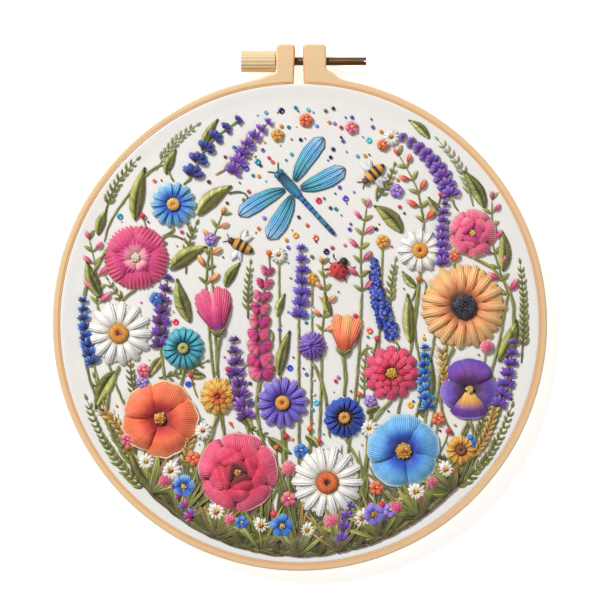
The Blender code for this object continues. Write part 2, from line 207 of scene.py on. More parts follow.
class Nodes:
    """Short ways to add and join the nodes of one material."""

    def __init__(self, name):
        self.material = bpy.data.materials.new(name)
        self.material.use_nodes = True
        self.tree = self.material.node_tree
        self.shader = self.tree.nodes["Principled BSDF"]

    def give(self, socket, value):
        """Joins a value to a socket, or sets the socket to a constant."""
        if isinstance(value, Value):
            self.tree.links.new(value.output, socket)
        else:
            socket.default_value = value

    def put(self, kind, **values):
        node = self.tree.nodes.new(kind)
        for key, value in values.items():
            if hasattr(node, key):
                setattr(node, key, value)
            else:
                self.give(node.inputs[key], value)
        return node

    def math(self, operation, *values):
        node = self.put("ShaderNodeMath", operation=operation)
        for socket, value in zip(node.inputs, values):
            self.give(socket, value)
        return Value(self, node.outputs[0])

    def highest(self, value, other):
        return self.math("MAXIMUM", value, other)

    def vector(self, x, y, z):
        return Value(self, self.put("ShaderNodeCombineXYZ", X=x, Y=y, Z=z).outputs[0])

    def parts(self, vector):
        node = self.put("ShaderNodeSeparateXYZ", Vector=vector)
        return [Value(self, output) for output in node.outputs]

    def where(self):
        """The object's own coordinates."""
        return Value(self, self.put("ShaderNodeTexCoord").outputs["Object"])

    def noise(self, vector, scale=1.0, detail=3.0, roughness=0.5):
        values = {"Vector": vector, "Scale": scale, "Detail": detail, "Roughness": roughness}
        return Value(self, self.put("ShaderNodeTexNoise", **values).outputs["Fac"])

    def dyed(self, level):
        """The shade that stitches and beads carry, made lighter or darker by a level."""
        shade = self.put("ShaderNodeVertexColor", layer_name="shade").outputs["Color"]
        node = self.put("ShaderNodeVectorMath", operation="SCALE", Scale=level)
        self.tree.links.new(shade, node.inputs[0])
        return Value(self, node.outputs[0])

    def blend(self, share, first, second):
        node = self.put("ShaderNodeMix", data_type="RGBA")
        self.give(node.inputs[0], share)
        for slot, value in ((6, first), (7, second)):
            self.give(node.inputs[slot], (*value, 1.0) if isinstance(value, tuple) else value)
        return Value(self, node.outputs[2])

    def bump(self, height, strength, distance):
        node = self.put("ShaderNodeBump", Strength=strength, Distance=distance, Height=height)
        self.tree.links.new(node.outputs[0], self.shader.inputs["Normal"])

    def finish(self, **values):
        """Sets the shader's own values, and gives the material."""
        for key, value in values.items():
            self.give(self.shader.inputs[key.replace("_", " ")], value)
        return self.material


def linear(colour):
    """A property's colour as linear values."""
    return tuple(float(part) for part in dye([255 * part for part in colour]))


def tone(colour, factors):
    return tuple(float(part) for part in np.minimum(1.0, np.multiply(colour, factors)))


@functools.lru_cache(maxsize=None)
def thread_material():
    """Stranded cotton: its shade comes from the stitches, its twist from their own map. Painted
    highlights lighten each thread's crest and soft patches, and painted shade darkens the twist's grooves.
    """
    made = Nodes("stranded_cotton")
    mapped = Value(made, made.put("ShaderNodeUVMap", uv_map="thread").outputs[0])
    along_it, around_it, _ = made.parts(mapped)
    ply = abs(made.math("SINE", (along_it * 0.9 + around_it * 3.0) * math.pi))
    where = made.where()
    fuzz = made.noise(where, 2600.0, 2.0)
    patch = made.noise(where, 240.0, 2.0)
    # The ply term darkens the colour in the grooves of the twist, as painted shade; patch and fuzz vary the
    # tone at random.
    level = (patch * 0.30 + 0.85) * (fuzz * 0.24 + 0.88) * (ply * 0.14 + 0.88)
    # Painted highlight: a pale colour mixed in along the top of each thread and in soft patches, standing in
    # for the satin's sheen.
    crest_highlight = made.highest(made.math("SINE", around_it * math.tau), 0.0)
    painted_sheen_patches = made.highest(patch - 0.50, 0.0) * 0.25
    painted_highlight_colour = made.blend(crest_highlight * 0.034 + painted_sheen_patches, made.dyed(level), (0.93, 0.90, 0.86))
    made.bump(ply + fuzz * 0.6, 0.45, 0.10 * MM)
    return made.finish(
        Base_Color=painted_highlight_colour,
        Roughness=0.52,
        Sheen_Weight=bpy.context.scene.embroidery_thread.sheen,
        Sheen_Roughness=0.4,
        Specular_IOR_Level=0.36,
    )


@functools.lru_cache(maxsize=None)
def bead_material():
    made = Nodes("glass_beads")
    level = made.noise(made.where(), 900.0, 2.0) * 0.3 + 0.85
    return made.finish(
        Base_Color=made.dyed(level), Roughness=0.16, Coat_Weight=0.6, Coat_Roughness=0.08
    )


def wood_material(name, tint, grain, gloss, axis=None):
    """Wood whose grain follows the ring or, on the knob, runs along its axis. Painted shade makes
    it darker and amber on the ring's lip and the sides of the ears' gap, and in the knob's grooves."""
    made = Nodes(name)
    x, y, z = made.parts(made.where())
    if axis:
        run, reach = x, y + z * 0.7
    else:
        level = y - HOOP_Y
        run, reach = made.math("ARCTAN2", level, x) * 0.1, made.math("SQRT", x**2 + level**2)

    def streaks(long, fine, detail, roughness=0.5):
        return made.noise(made.vector(run * long, reach * fine, z * fine), 1.0, detail, roughness)

    fibres = streaks(60.0, 1500.0, 4.0, 0.6)
    clouds = streaks(22.0, 160.0, 2.0)
    flecks = made.math("LESS_THAN", streaks(420.0, 3000.0, 1.0), 0.34)
    share = (fibres - 0.5) * grain + (clouds - 0.5) * (grain * 0.8) + (flecks * (grain * -0.35) + 0.5)
    if axis:
        # Painted shade in the knob's grooves, deepest where the ridges dip.
        turn = made.math("ARCTAN2", z - axis.z, y - axis.y)
        dark = (made.math("COSINE", turn * float(RIDGES)) * 0.5 + 0.5) ** 2.0
        painted_shade_tone = (0.84, 0.66, 0.40)
    else:
        # Painted shade: an amber band along the ring's inner lip and on the sides of the ears' gap, where
        # the edges fall in shade.
        lip = made.highest(1.0 - abs(reach - (INNER + 0.56) * MM) / (0.66 * MM), 0.0) ** 0.7
        gap = made.math("LESS_THAN", abs(x + 0.35 * MM), 2.35 * MM)
        dark = made.highest(lip, gap * made.math("GREATER_THAN", level, INNER * MM))
        painted_shade_tone = (0.94, 0.64, 0.40)
    plain = made.blend(share, tone(tint, 0.80), tone(tint, 1.12))
    made.bump(fibres, 0.25, 0.06 * MM)
    return made.finish(
        Base_Color=made.blend(dark * 0.75, plain, tone(tint, painted_shade_tone)),
        Roughness=0.5 - 0.15 * gloss,
        Coat_Weight=0.35 * gloss,
        Coat_Roughness=0.25,
    )


def cotton_material():
    """Plain weave: warp and weft pass over and under each other, with slubs and soft patches."""
    look = bpy.context.scene.embroidery_cloth
    made = Nodes("plain_cotton")
    where = made.where()
    x, y, _ = made.parts(where)
    shift = (made.noise(where, 60.0, 2.0) - 0.5) * (0.9 * MM)
    warp, weft = (made.math("SINE", (part + shift) * (math.pi / look.weave)) for part in (x, y))
    weave = warp * weft
    slubs = made.noise(made.vector(x * 90.0, y * 900.0, 0.0))
    slubs = slubs + made.noise(made.vector(x * 900.0, y * 90.0, 5.0))
    # The weave term paints shade where the threads pass under each other; the patches and slubs vary the
    # tone.
    level = made.noise(where, 26.0) * 0.5 + weave * 0.10 + slubs * 0.22
    tint = linear(look.tint)
    made.bump(weave * 0.5 + slubs, 0.30, 0.10 * MM)
    return made.finish(
        Base_Color=made.blend(level, tone(tint, 0.90), tone(tint, 1.06)),
        Roughness=0.92,
        Sheen_Weight=0.12,
        Specular_IOR_Level=0.2,
    )


def bronze_material():
    made = Nodes("antique_bronze")
    x, y, z = made.parts(made.where())
    streak = made.noise(made.vector(x * 90.0, y * 1700.0, z * 1700.0), 1.0, 4.0, 0.6)
    tint = linear(bpy.context.scene.embroidery_hoop.bronze)
    made.bump(streak, 0.3, 0.08 * MM)
    return made.finish(
        Base_Color=made.blend((streak - 0.32) * 2.6, tone(tint, 0.42), tone(tint, 1.5)),
        Roughness=streak * 0.4 + 0.22,
        Metallic=0.75,
    )


# Shapes that are copied many times


def turn_matrix(axis, degrees):
    return Matrix.Rotation(math.radians(degrees), 3, axis)


def extrude(bm, edges):
    """Extrudes a ring of edges, and gives the new ring's corners and edges."""
    grown = bmesh.ops.extrude_edge_only(bm, edges=edges)["geom"]
    ring = [item for item in grown if isinstance(item, bmesh.types.BMVert)]
    lines = [item for item in grown if isinstance(item, bmesh.types.BMEdge)]
    held = set(ring)
    return ring, [edge for edge in lines if set(edge.verts) <= held]


def outline(bm, line, closed=True):
    """Draws an outline beside the Z axis, from places across and up."""
    verts = [bm.verts.new((across, 0, up)) for across, up in line]
    for pair in zip(verts, verts[1:] + verts[:1] if closed else verts[1:]):
        bm.edges.new(pair)


def spin(bm, steps):
    """Turns an outline once round the Z axis."""
    bmesh.ops.spin(
        bm,
        geom=bm.verts[:] + bm.edges[:],
        cent=(0, 0, 0),
        axis=(0, 0, 1),
        angle=math.tau,
        steps=steps,
        use_merge=True,
    )


class Shape:
    """A small closed mesh, as arrays. On a wrapped one the map runs on over the seam."""

    def __init__(self, bm, wrap=False):
        bmesh.ops.recalc_face_normals(bm, faces=bm.faces[:])
        bm.verts.index_update()
        self.points = np.array([vert.co[:] for vert in bm.verts])
        self.sizes = np.array([len(face.verts) for face in bm.faces])
        self.loops = np.array([vert.index for face in bm.faces for vert in face.verts])
        self.ring = np.rint(self.points[:, 2]).astype(int)
        self.turn = np.arctan2(self.points[:, 1], self.points[:, 0])
        self.around = np.mod(self.turn / math.tau, 1.0)[self.loops]
        first = 0
        for size in self.sizes:
            part = self.around[first : first + size]
            if wrap and part.max() - part.min() > 0.5 and size == 4:
                part[part < 0.25] += 1.0
            first += size
        bm.free()


@functools.lru_cache(maxsize=None)
def tube(rings, sides):
    """A tube of unit radius with a ring at each whole height and closed ends."""
    bm = bmesh.new()
    ring = bmesh.ops.create_circle(bm, cap_ends=True, segments=sides, radius=1.0)["verts"]
    edges = bm.edges[:]
    for _ in range(rings - 1):
        ring, edges = extrude(bm, edges)
        bmesh.ops.translate(bm, verts=ring, vec=(0, 0, 1))
    bmesh.ops.contextual_create(bm, geom=ring)
    return Shape(bm, wrap=True)


@functools.lru_cache(maxsize=None)
def ball():
    bm = bmesh.new()
    bmesh.ops.create_icosphere(bm, subdivisions=2, radius=1.0)
    return Shape(bm)


@functools.lru_cache(maxsize=None)
def bead():
    """A seed bead: a fat ring with a small hole, lying on its side."""
    bm = bmesh.new()
    ring = bmesh.ops.create_circle(bm, segments=6, radius=0.42)["verts"]
    bmesh.ops.rotate(bm, verts=ring, matrix=turn_matrix("X", 90))
    bmesh.ops.translate(bm, verts=ring, vec=(0.58, 0, 0))
    spin(bm, 10)
    return Shape(bm)


@functools.lru_cache(maxsize=None)
def sequin():
    """A cupped disc with a hole."""
    bm = bmesh.new()
    outline(bm, ((0.16, 0.0), (0.55, 0.06), (1.0, 0.20), (1.0, 0.26), (0.55, 0.14), (0.16, 0.08)))
    spin(bm, 14)
    return Shape(bm)


# Stitch work


def along(count):
    """Shares along a thread, closer together at its ends."""
    inner = np.linspace(0, 1, count - 2)[1:-1]
    return np.concatenate([[0.0, 0.045], inner, [0.955, 1.0]])


def sides(count):
    """The middles of stitches that lie side by side, from -1 to 1."""
    return (np.arange(count) + 0.5) / count * 2 - 1


def lifted(flat, up):
    """Places on the cloth, brought to heights above it."""
    return np.concatenate([flat, np.broadcast_to(up, flat.shape[:-1])[..., None]], axis=-1)


def around(place, turn, out, up):
    """Places at turns and distances round another."""
    flat = [place[0] + out * np.cos(turn), place[1] + out * np.sin(turn)]
    return lifted(np.stack(flat, axis=-1), up)


def unit(vectors):
    return vectors / np.maximum(np.linalg.norm(vectors, axis=-1, keepdims=True), 1e-9)


def placed(mesh, name, nodes=(), body="hoop"):
    """Adds a piece that rides on a body and stands for the given nodes."""
    made = bpy.data.objects.new(name, mesh)
    bpy.context.scene.collection.objects.link(made)
    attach(made, body)
    if nodes:
        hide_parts(*nodes)
    return made


class Work:
    """Gathers stitches, knots and beads, then makes one piece of them."""

    def __init__(self):
        self.points, self.loops, self.sizes, self.shades, self.maps = [], [], [], [], []
        self.count = 0

    def take(self, shape, points, shades, maps):
        copies, size = points.shape[:2]
        first = self.count + size * np.arange(copies)
        self.points.append(points.reshape(-1, 3))
        self.loops.append((shape.loops[None, :] + first[:, None]).ravel())
        self.sizes.append(np.tile(shape.sizes, copies))
        self.shades.append(shades.reshape(-1, 3))
        self.maps.append(maps.reshape(-1, 2))
        self.count += copies * size

    def threads(self, paths, radii, shades, sides=5, flat=0.8):
        """Threads along paths (k, m, 3), or one along (m, 3), with radii and shades to match."""
        paths = paths.reshape(-1, *paths.shape[-2:])
        copies, rings = paths.shape[:2]
        shape = tube(rings, sides)
        ring = shape.ring
        run = unit(np.gradient(paths, axis=1))
        chord = paths[:, -1:] - paths[:, :1]
        level = np.where(np.abs(run[..., :2]).sum(-1, keepdims=True) > 0.15, run, chord)
        across = unit(lifted(np.stack([-level[..., 1], level[..., 0]], axis=-1), 0.0))
        up = np.cross(run, across)
        radii = np.broadcast_to(radii, (copies, rings)).copy()
        radii[:, (0, -1)] *= 0.45
        thick = radii[:, ring, None]
        points = paths[:, ring] - thick * np.cos(shape.turn)[:, None] * across[:, ring]
        points = points + thick * flat * np.sin(shape.turn)[:, None] * up[:, ring]
        steps = np.linalg.norm(np.diff(paths, axis=1), axis=2)
        far = np.concatenate([np.zeros((copies, 1)), np.cumsum(steps, axis=1)], axis=1)
        far = far[:, ring[shape.loops]]
        maps = np.stack([far, np.broadcast_to(shape.around, far.shape)], axis=-1)
        self.take(shape, points, np.broadcast_to(shades, (copies, rings, 3))[:, ring], maps)

    def copies(self, shape, places, sizes, shades, turns=0.0, squash=1.0):
        """Copies of a small shape at places (k, 3)."""
        places = np.asarray(places, float).reshape(-1, 3)
        count, corners = len(places), len(shape.points)
        sizes, turns = (np.broadcast_to(each, (count,))[:, None] for each in (sizes, turns))
        x, y, z = (shape.points * np.array([1, 1, squash])).T
        points = [x * np.cos(turns) - y * np.sin(turns), x * np.sin(turns) + y * np.cos(turns)]
        points = lifted(np.stack(points, axis=-1), z) * sizes[..., None] + places[:, None, :]
        shades = np.broadcast_to(np.reshape(shades, (-1, 1, 3)), (count, corners, 3))
        maps = np.stack([z[shape.loops], shape.around], axis=-1)
        self.take(shape, points, shades, np.broadcast_to(maps, (count, *maps.shape)))

    def make(self, name, colour, *nodes, material=None, padded=False):
        """Makes the piece, which rides on the hoop and stands for the given nodes."""
        points = np.concatenate(self.points) * MM + np.array([HOOP_X, HOOP_Y, CLOTH_TOP])
        loops = np.concatenate(self.loops)
        sizes = np.concatenate(self.sizes)
        mesh = bpy.data.meshes.new(name)
        mesh.vertices.add(len(points))
        mesh.vertices.foreach_set("co", points.ravel())
        mesh.loops.add(len(loops))
        mesh.loops.foreach_set("vertex_index", loops)
        mesh.polygons.add(len(sizes))
        mesh.polygons.foreach_set("loop_start", np.concatenate([[0], np.cumsum(sizes)[:-1]]))
        mesh.update(calc_edges=True)
        shades = np.clip(np.concatenate(self.shades), 0, 1)
        shade = mesh.color_attributes.new("shade", "FLOAT_COLOR", "POINT")
        filled = np.concatenate([shades, np.ones((len(shades), 1))], axis=1)
        shade.data.foreach_set("color", filled.ravel())
        mapped = mesh.uv_layers.new(name="thread")
        mapped.data.foreach_set("uv", np.concatenate(self.maps).ravel())
        mesh.validate()
        mesh.shade_smooth()
        mesh.materials.append(material or thread_material())
        return placed(mesh, name, nodes)


def jitter(count, amount):
    """A factor of its own for each stitch's shade."""
    return 1 + RNG.normal(0, amount, (count, 1, 1))


def pitch():
    return bpy.context.scene.embroidery_thread.pitch / MM


def half_pitch(step, full=1.0):
    """The radius of stitches that lie a step apart."""
    return step * 0.5 * bpy.context.scene.embroidery_thread.plump * full


def petal(
    work,
    place,
    angle,
    start,
    reach,
    width,
    rise,
    shades,
    tip=0.35,
    neck=0.4,
    notch=0.0,
    base=0.0,
    end=0.0,
    lean=0.0,
    fringe=0.0,
    ruffle=0.0,
    grid=None,
    rings=9,
    edge=0.46,
    rim=None,
    full=1.22,
    vary=0.06,
):
    """A padded petal of lengthwise satin stitches that fan out from its root. Painted shade darkens
    its sides to the share edge of their colour, and a painted highlight lightens its raised middle.
    """
    count = max(3, round(width / (grid or pitch())))
    side, share = sides(count), along(rings)
    ends = 1 - tip * (1 - np.sqrt(1 - np.abs(side) ** 2.2 * 0.985))
    ends = ends - notch * (1 - np.abs(side)) ** 1.5
    if fringe:
        ends = ends - fringe * (np.arange(count) % 2) - RNG.uniform(0, fringe, count) * 0.5
    if ruffle:
        ends = ends + ruffle * np.sin(side * 9.0 + angle * 3) * (1 - side**2 * 0.4)
    far = ends[:, None] * share
    spread = neck + (1 - neck) * smooth(far / 0.72)
    dome = ((1 - np.abs(side) ** 2.2) ** 0.70)[:, None]
    hump = smooth(share / 0.42) * (1 - smooth((share - 0.58) / 0.42) * 0.88)
    lift = base + (end - base) * smooth(share) + rise * dome * hump
    lift = np.maximum(lift + lean * side[:, None] * hump + 0.5, 0.12)
    flat = [start + (reach - start) * far, side[:, None] * width / 2 * spread]
    points = lifted(np.stack(flat, axis=-1), lift)

    def turned(points):
        """Points in the petal's own frame, X along it, brought to the hoop's."""
        cosine, sine = math.cos(angle), math.sin(angle)
        x, y, z = points[..., 0], points[..., 1], points[..., 2]
        flat = [place[0] + x * cosine - y * sine, place[1] + x * sine + y * cosine, z]
        return np.stack(flat, axis=-1)

    half = width / 2
    # Painted shade: how far in from each side the petal's colour is darkened, wider on the lowered side of a
    # leaning petal.
    low_shade_zone, high_shade_zone = (3.0, 0.45) if lean else (1.4, 1.4)
    low, high = (1 + side) * half, (1 - side) * half
    inward = np.minimum(low / min(low_shade_zone, 0.55 * half), high / min(high_shade_zone, 0.55 * half))
    painted_shade_and_highlight = edge + (1 - edge) * smooth(inward)[:, None]
    # Painted highlight on the petal's raised middle.
    painted_shade_and_highlight = painted_shade_and_highlight * (0.90 + 0.16 * dome * hump)
    colours = stops(shades, share) * painted_shade_and_highlight[..., None] * jitter(count, vary)
    radii = np.maximum(half_pitch(width * spread / count, full), 0.13)
    work.threads(turned(points), radii, colours)
    if rim:
        line = points[:, -1].copy()
        line[:, 2] = points[:, -3, 2] * 0.62
        line[:, 0] -= 0.35
        line = np.concatenate([points[:1, rings // 2], line, points[-1:, rings // 2]])
        work.threads(turned(curve_points(line, 0.8)), 0.30, dye(rim), sides=6, flat=1.0)


def whorl(work, place, count, turn, start, reach, width, rise, shades, **more):
    """A ring of like petals. The width is a share of the room that each has at its tip."""
    room = math.tau * reach * 0.86 / count * width
    for each in range(count):
        angle = math.radians(turn) + math.tau * each / count + RNG.normal(0, 0.012)
        stretch = 1 + RNG.normal(0, 0.015)
        petal(work, place, angle, start, reach * stretch, room, rise, shades, **more)


def burst(work, place, count, start, reach, low, high, thick, shades):
    """Single stitches that stand out all round from a middle."""
    angle = math.tau * (np.arange(count) + RNG.uniform(-0.2, 0.2, count)) / count
    share = along(7)
    out = start + (reach * RNG.uniform(0.9, 1.08, count) - start)[:, None] * share
    up = low + (high - low) * np.sin(np.pi * (0.2 + 0.7 * share))
    colours = stops(shades, share) * jitter(count, 0.12)
    work.threads(around(place, angle[:, None], out, up), thick, colours)


def knots(work, places, size, shades, squash=0.8):
    """French knots: small round balls of wound thread."""
    places = np.asarray(places, float).reshape(-1, 3)
    count, shades = len(places), shades.split()
    if not count:
        return
    spread = size * RNG.uniform(0.85, 1.15, count)
    base = np.array([dye(shades[i % len(shades)]) for i in range(count)])
    base = base * RNG.uniform(0.85, 1.1, (count, 1))
    work.copies(ball(), places, spread, base, RNG.uniform(0, 6, count), squash)


def disc_places(place, radius, spacing, low, high):
    """Places in a sunflower spiral over a low dome."""
    count = max(1, int((radius / spacing) ** 2 * 0.9))
    each = np.arange(count) + 0.5
    out = radius * np.sqrt(each / count)
    golden_angle = 2.399963
    return around(place, each * golden_angle, out, low + (high - low) * (1 - (out / radius) ** 2))


def eye(work, place, radius, low, high, shades, size, core):
    """A flower's middle, packed with knots, with a darker core if it has one."""
    # Painted shade: a pad in the first shade darkened to 0.62 lies under the knots, so the gaps between them
    # read as shaded gold.
    pad = dye(shades.split()[0]) * 0.62
    work.copies(ball(), [(*place, low - 0.1)], radius * 1.02, pad, squash=(high - low) / radius)
    knots(work, disc_places(place, radius, size * 1.18, low, high), size, shades)
    if core:
        share, shade = core
        middle = disc_places(place, radius * share, size * 1.1, high + 0.1, high + 0.3)
        knots(work, middle, size * 0.9, shade)


def button(work, place, radius, low, high, shades, core):
    """A raised daisy middle: short stitches over a padded ring, with knots in its hollow."""
    count = max(14, round(math.tau * radius * 0.8 / pitch()))
    share = along(8)
    out = radius * (0.16 + 0.84 * share)
    up = low + (high - low) * np.sin(np.pi * np.clip(0.16 + 0.80 * share, 0, 1)) ** 0.6
    path = around(place, math.tau * np.arange(count)[:, None] / count, out, up)
    radii = np.maximum(math.pi * out / count * 1.25, 0.16)
    work.threads(path, radii, stops(shades, share) * jitter(count, 0.07))
    knots(work, disc_places(place, radius * 0.30, 0.5, high - 0.2, high), 0.46, core)


def bowed(line, share):
    """Points and left-hand directions on a bowed line, at shares along it."""
    start, end, bow = np.array(line[:2], float), np.array(line[2:4], float), line[4]
    run = end - start
    left = np.array([-run[1], run[0]]) / max(np.linalg.norm(run), 1e-9)
    share = np.asarray(share, float)
    points = start + run * share[..., None] + left * (bow * 4 * share * (1 - share))[..., None]
    way = unit(run + left * (bow * 4 * (1 - 2 * share))[..., None])
    return points, np.stack([-way[..., 1], way[..., 0]], axis=-1)


def headed(line, share):
    """A place on a bowed line, and its heading there in radians."""
    point, left = bowed(line, share)
    return point, math.atan2(-left[0], left[1])


def beyond(point, angle, reach):
    """The place at a distance from another, at an angle in radians."""
    return point[0] + reach * math.cos(angle), point[1] + reach * math.sin(angle)


def span(line):
    return math.dist(line[:2], line[2:4])


def leaf_width(share):
    """Half width along a leaf, as a share of the widest."""
    at = (0.0, 0.08, 0.2, 0.42, 0.65, 0.85, 1.0)
    return np.interp(share, at, (0.10, 0.38, 0.74, 1.0, 0.80, 0.38, 0.0))


def fishbone(work, line, width, rise, light, dark, grid=None):
    """A padded leaf: slanting stitches from its midrib to both edges, one half in each shade."""
    step = (grid or pitch()) * 1.08
    count = max(6, round(span(line) / step))
    root = np.linspace(0.0, 0.93, count)
    reach = np.minimum(root + 0.13 + 0.05 * root, 1.0)
    share = along(7)
    hump = 0.42 + 0.75 * np.sin(np.pi * np.clip(share, 0, 1) ** 0.85) - 0.42 * share
    tall = 0.35 + 0.65 * leaf_width((root + reach) / 2)
    up = 0.2 + rise * tall[:, None] * hump
    # Painted shade near the midrib and the edge of each half, and a painted highlight across its middle.
    painted_leaf_light = np.interp(share, (0, 0.2, 0.5, 0.8, 1), (0.50, 0.92, 1.24, 1.02, 0.55))[:, None]
    for hand, shades in ((1, light), (-1, dark)):
        points, left = bowed(line, root[:, None] + (reach - root)[:, None] * share)
        out = leaf_width(reach)[:, None] * width / 2 * share**0.9
        colours = stops(shades, share) * painted_leaf_light * jitter(count, 0.19)
        path = lifted(points + left * (hand * out)[..., None], up)
        work.threads(path, half_pitch(step), colours)
    points, _ = bowed(line, np.linspace(-0.04, 0.92, 14))
    deep = dark.split()
    colours = stops(f"{deep[0]} {deep[-1]}", np.linspace(0, 1, 14))
    work.threads(lifted(points, 0.25 + rise * 0.34), step * 0.42, colours)


# Half width along a blade of grass and along a small leaf: where, and the share of the widest
BLADE = ((0, 0.15, 0.45, 0.8, 1), (0.24, 0.62, 1.0, 0.60, 0.05))
LEAF = ((0, 0.1, 0.4, 0.75, 1), (0.15, 0.6, 1.0, 0.75, 0.08))


def blade(work, line, width, rise, shades, lift=0.0, grid=None, form=LEAF, rings=7):
    """A slim leaf or blade of grass, in stitches that run along it."""
    count = max(2, round(width / (grid or pitch())))
    side, share = sides(count), along(rings)
    wide = np.interp(share, *form)
    points, left = bowed(line, np.broadcast_to(share, (count, rings)))
    out = side[:, None] * wide * width / 2
    dome = np.sqrt(np.maximum(1 - side**2, 0.05))
    up = lift + 0.18 + rise * dome[:, None] * (0.35 + 0.65 * wide)
    radii = np.maximum(half_pitch(width / count) * wide, 0.13)
    # Painted shade darkens the blade's edges and a painted highlight lightens its middle.
    painted_shade_and_highlight = (1.28 - 0.84 * np.abs(side) ** 1.4)[:, None, None]
    colours = stops(shades, share) * jitter(count, 0.19) * painted_shade_and_highlight
    work.threads(lifted(points + left * out[..., None], up), radii, colours)


def curve_points(route, step=1.0):
    """A smooth curve through a route's points, sampled evenly."""
    route = np.array(route, float)
    marks = np.concatenate([2 * route[:1] - route[1:2], route, 2 * route[-1:] - route[-2:-1]])
    t = np.linspace(0, 1, 24, endpoint=False)[:, None]
    found = []
    for a, b, c, d in zip(marks, marks[1:], marks[2:], marks[3:]):
        bend = (2 * a - 5 * b + 4 * c - d) * t**2 + (3 * b - a - 3 * c + d) * t**3
        found.append(0.5 * (2 * b + (c - a) * t + bend))
    line = np.concatenate([*found, route[-1:]])
    far = np.concatenate([[0], np.cumsum(np.linalg.norm(np.diff(line, axis=0), axis=1))])
    at = np.linspace(0, far[-1], max(6, int(far[-1] / step) + 1))
    return np.stack([np.interp(at, far, line[:, i]) for i in range(line.shape[1])], axis=-1)


def rope(work, route, radius, shades, lift=0.0, taper=0.35, step=1.1):
    """A stem of stem stitch: two strands that wind round each other along a route, the one in
    painted shade and the other in painted highlight.
    """
    line = curve_points(route, step)
    far = np.linspace(0, 1, len(line))
    run = unit(np.gradient(line, axis=0))
    left = np.stack([-run[:, 1], run[:, 0]], axis=-1)
    steps = np.linalg.norm(np.diff(line, axis=0), axis=1)
    turn = np.concatenate([[0], np.cumsum(steps)]) / (9.0 * radius) * math.pi
    wide = radius * (1 - taper * far)
    # One strand is painted darker and the other lighter, as painted shade and highlight on the stem's two
    # sides.
    for phase, tint in ((0, 0.70), (math.pi, 1.06)):
        off = np.cos(turn + phase) * wide * 0.32
        up = lift + wide * 0.85 + np.sin(turn + phase) * wide * 0.22
        path = lifted(line + left * off[:, None], up)
        work.threads(path, wide * 0.72, stops(shades, far) * tint, sides=6, flat=1.0)


def stalk(work, line, radius, shades="olive leaf", step=1.6):
    """A stem along a bowed line."""
    rope(work, [line[:2], bowed(line, 0.5)[0], line[2:4]], radius, shades, step=step)


def feeler(work, route, shade, radius=0.22, lift=0.3):
    work.threads(lifted(curve_points(route, 0.7), lift), radius, dye(shade), flat=1.0)


def bars(work, line, width, rise, shades, form, grid):
    """Satin stitches across a bowed line, in bands of shade along it."""
    count = max(4, round(span(line) / grid))
    place = (np.arange(count) + 0.5) / count
    half = np.interp(place, *form) * width / 2
    way = along(8) * 2 - 1
    points, left = bowed(line, np.broadcast_to(place[:, None], (count, 8)))
    hump = np.sqrt(np.maximum(1 - way**2, 0))
    up = 0.15 + rise * hump * (0.35 + 0.65 * half / max(half.max(), 1e-6))[:, None]
    bands = shades(place) if callable(shades) else stops(shades, place)
    colours = bands[:, None, :] * jitter(count, 0.05)
    path = lifted(points + left * (way * half[:, None])[..., None], up)
    work.threads(path, half_pitch(grid, 1.05), colours)


class Undoable:
    bl_options = {"REGISTER", "UNDO"}


# Flowers


def centre_of(node):
    """A node's middle, half width and height over the cloth, in millimetres on the hoop."""
    low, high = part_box(node)
    place = (((low.x + high.x) / 2 - HOOP_X) / MM, ((low.y + high.y) / 2 - HOOP_Y) / MM)
    return place, max(high.x - low.x, high.y - low.y) / 2 / MM, (high.z - CLOTH_TOP) / MM


def ring(petals, turn, start, reach, width, rise, shades, **more):
    """A layer of petals, as a count or as a tuple of their angles in degrees. Start, reach, base,
    end and lean are shares of the flower's radius and height."""
    return petals, turn, start, reach, width, rise, shades, more
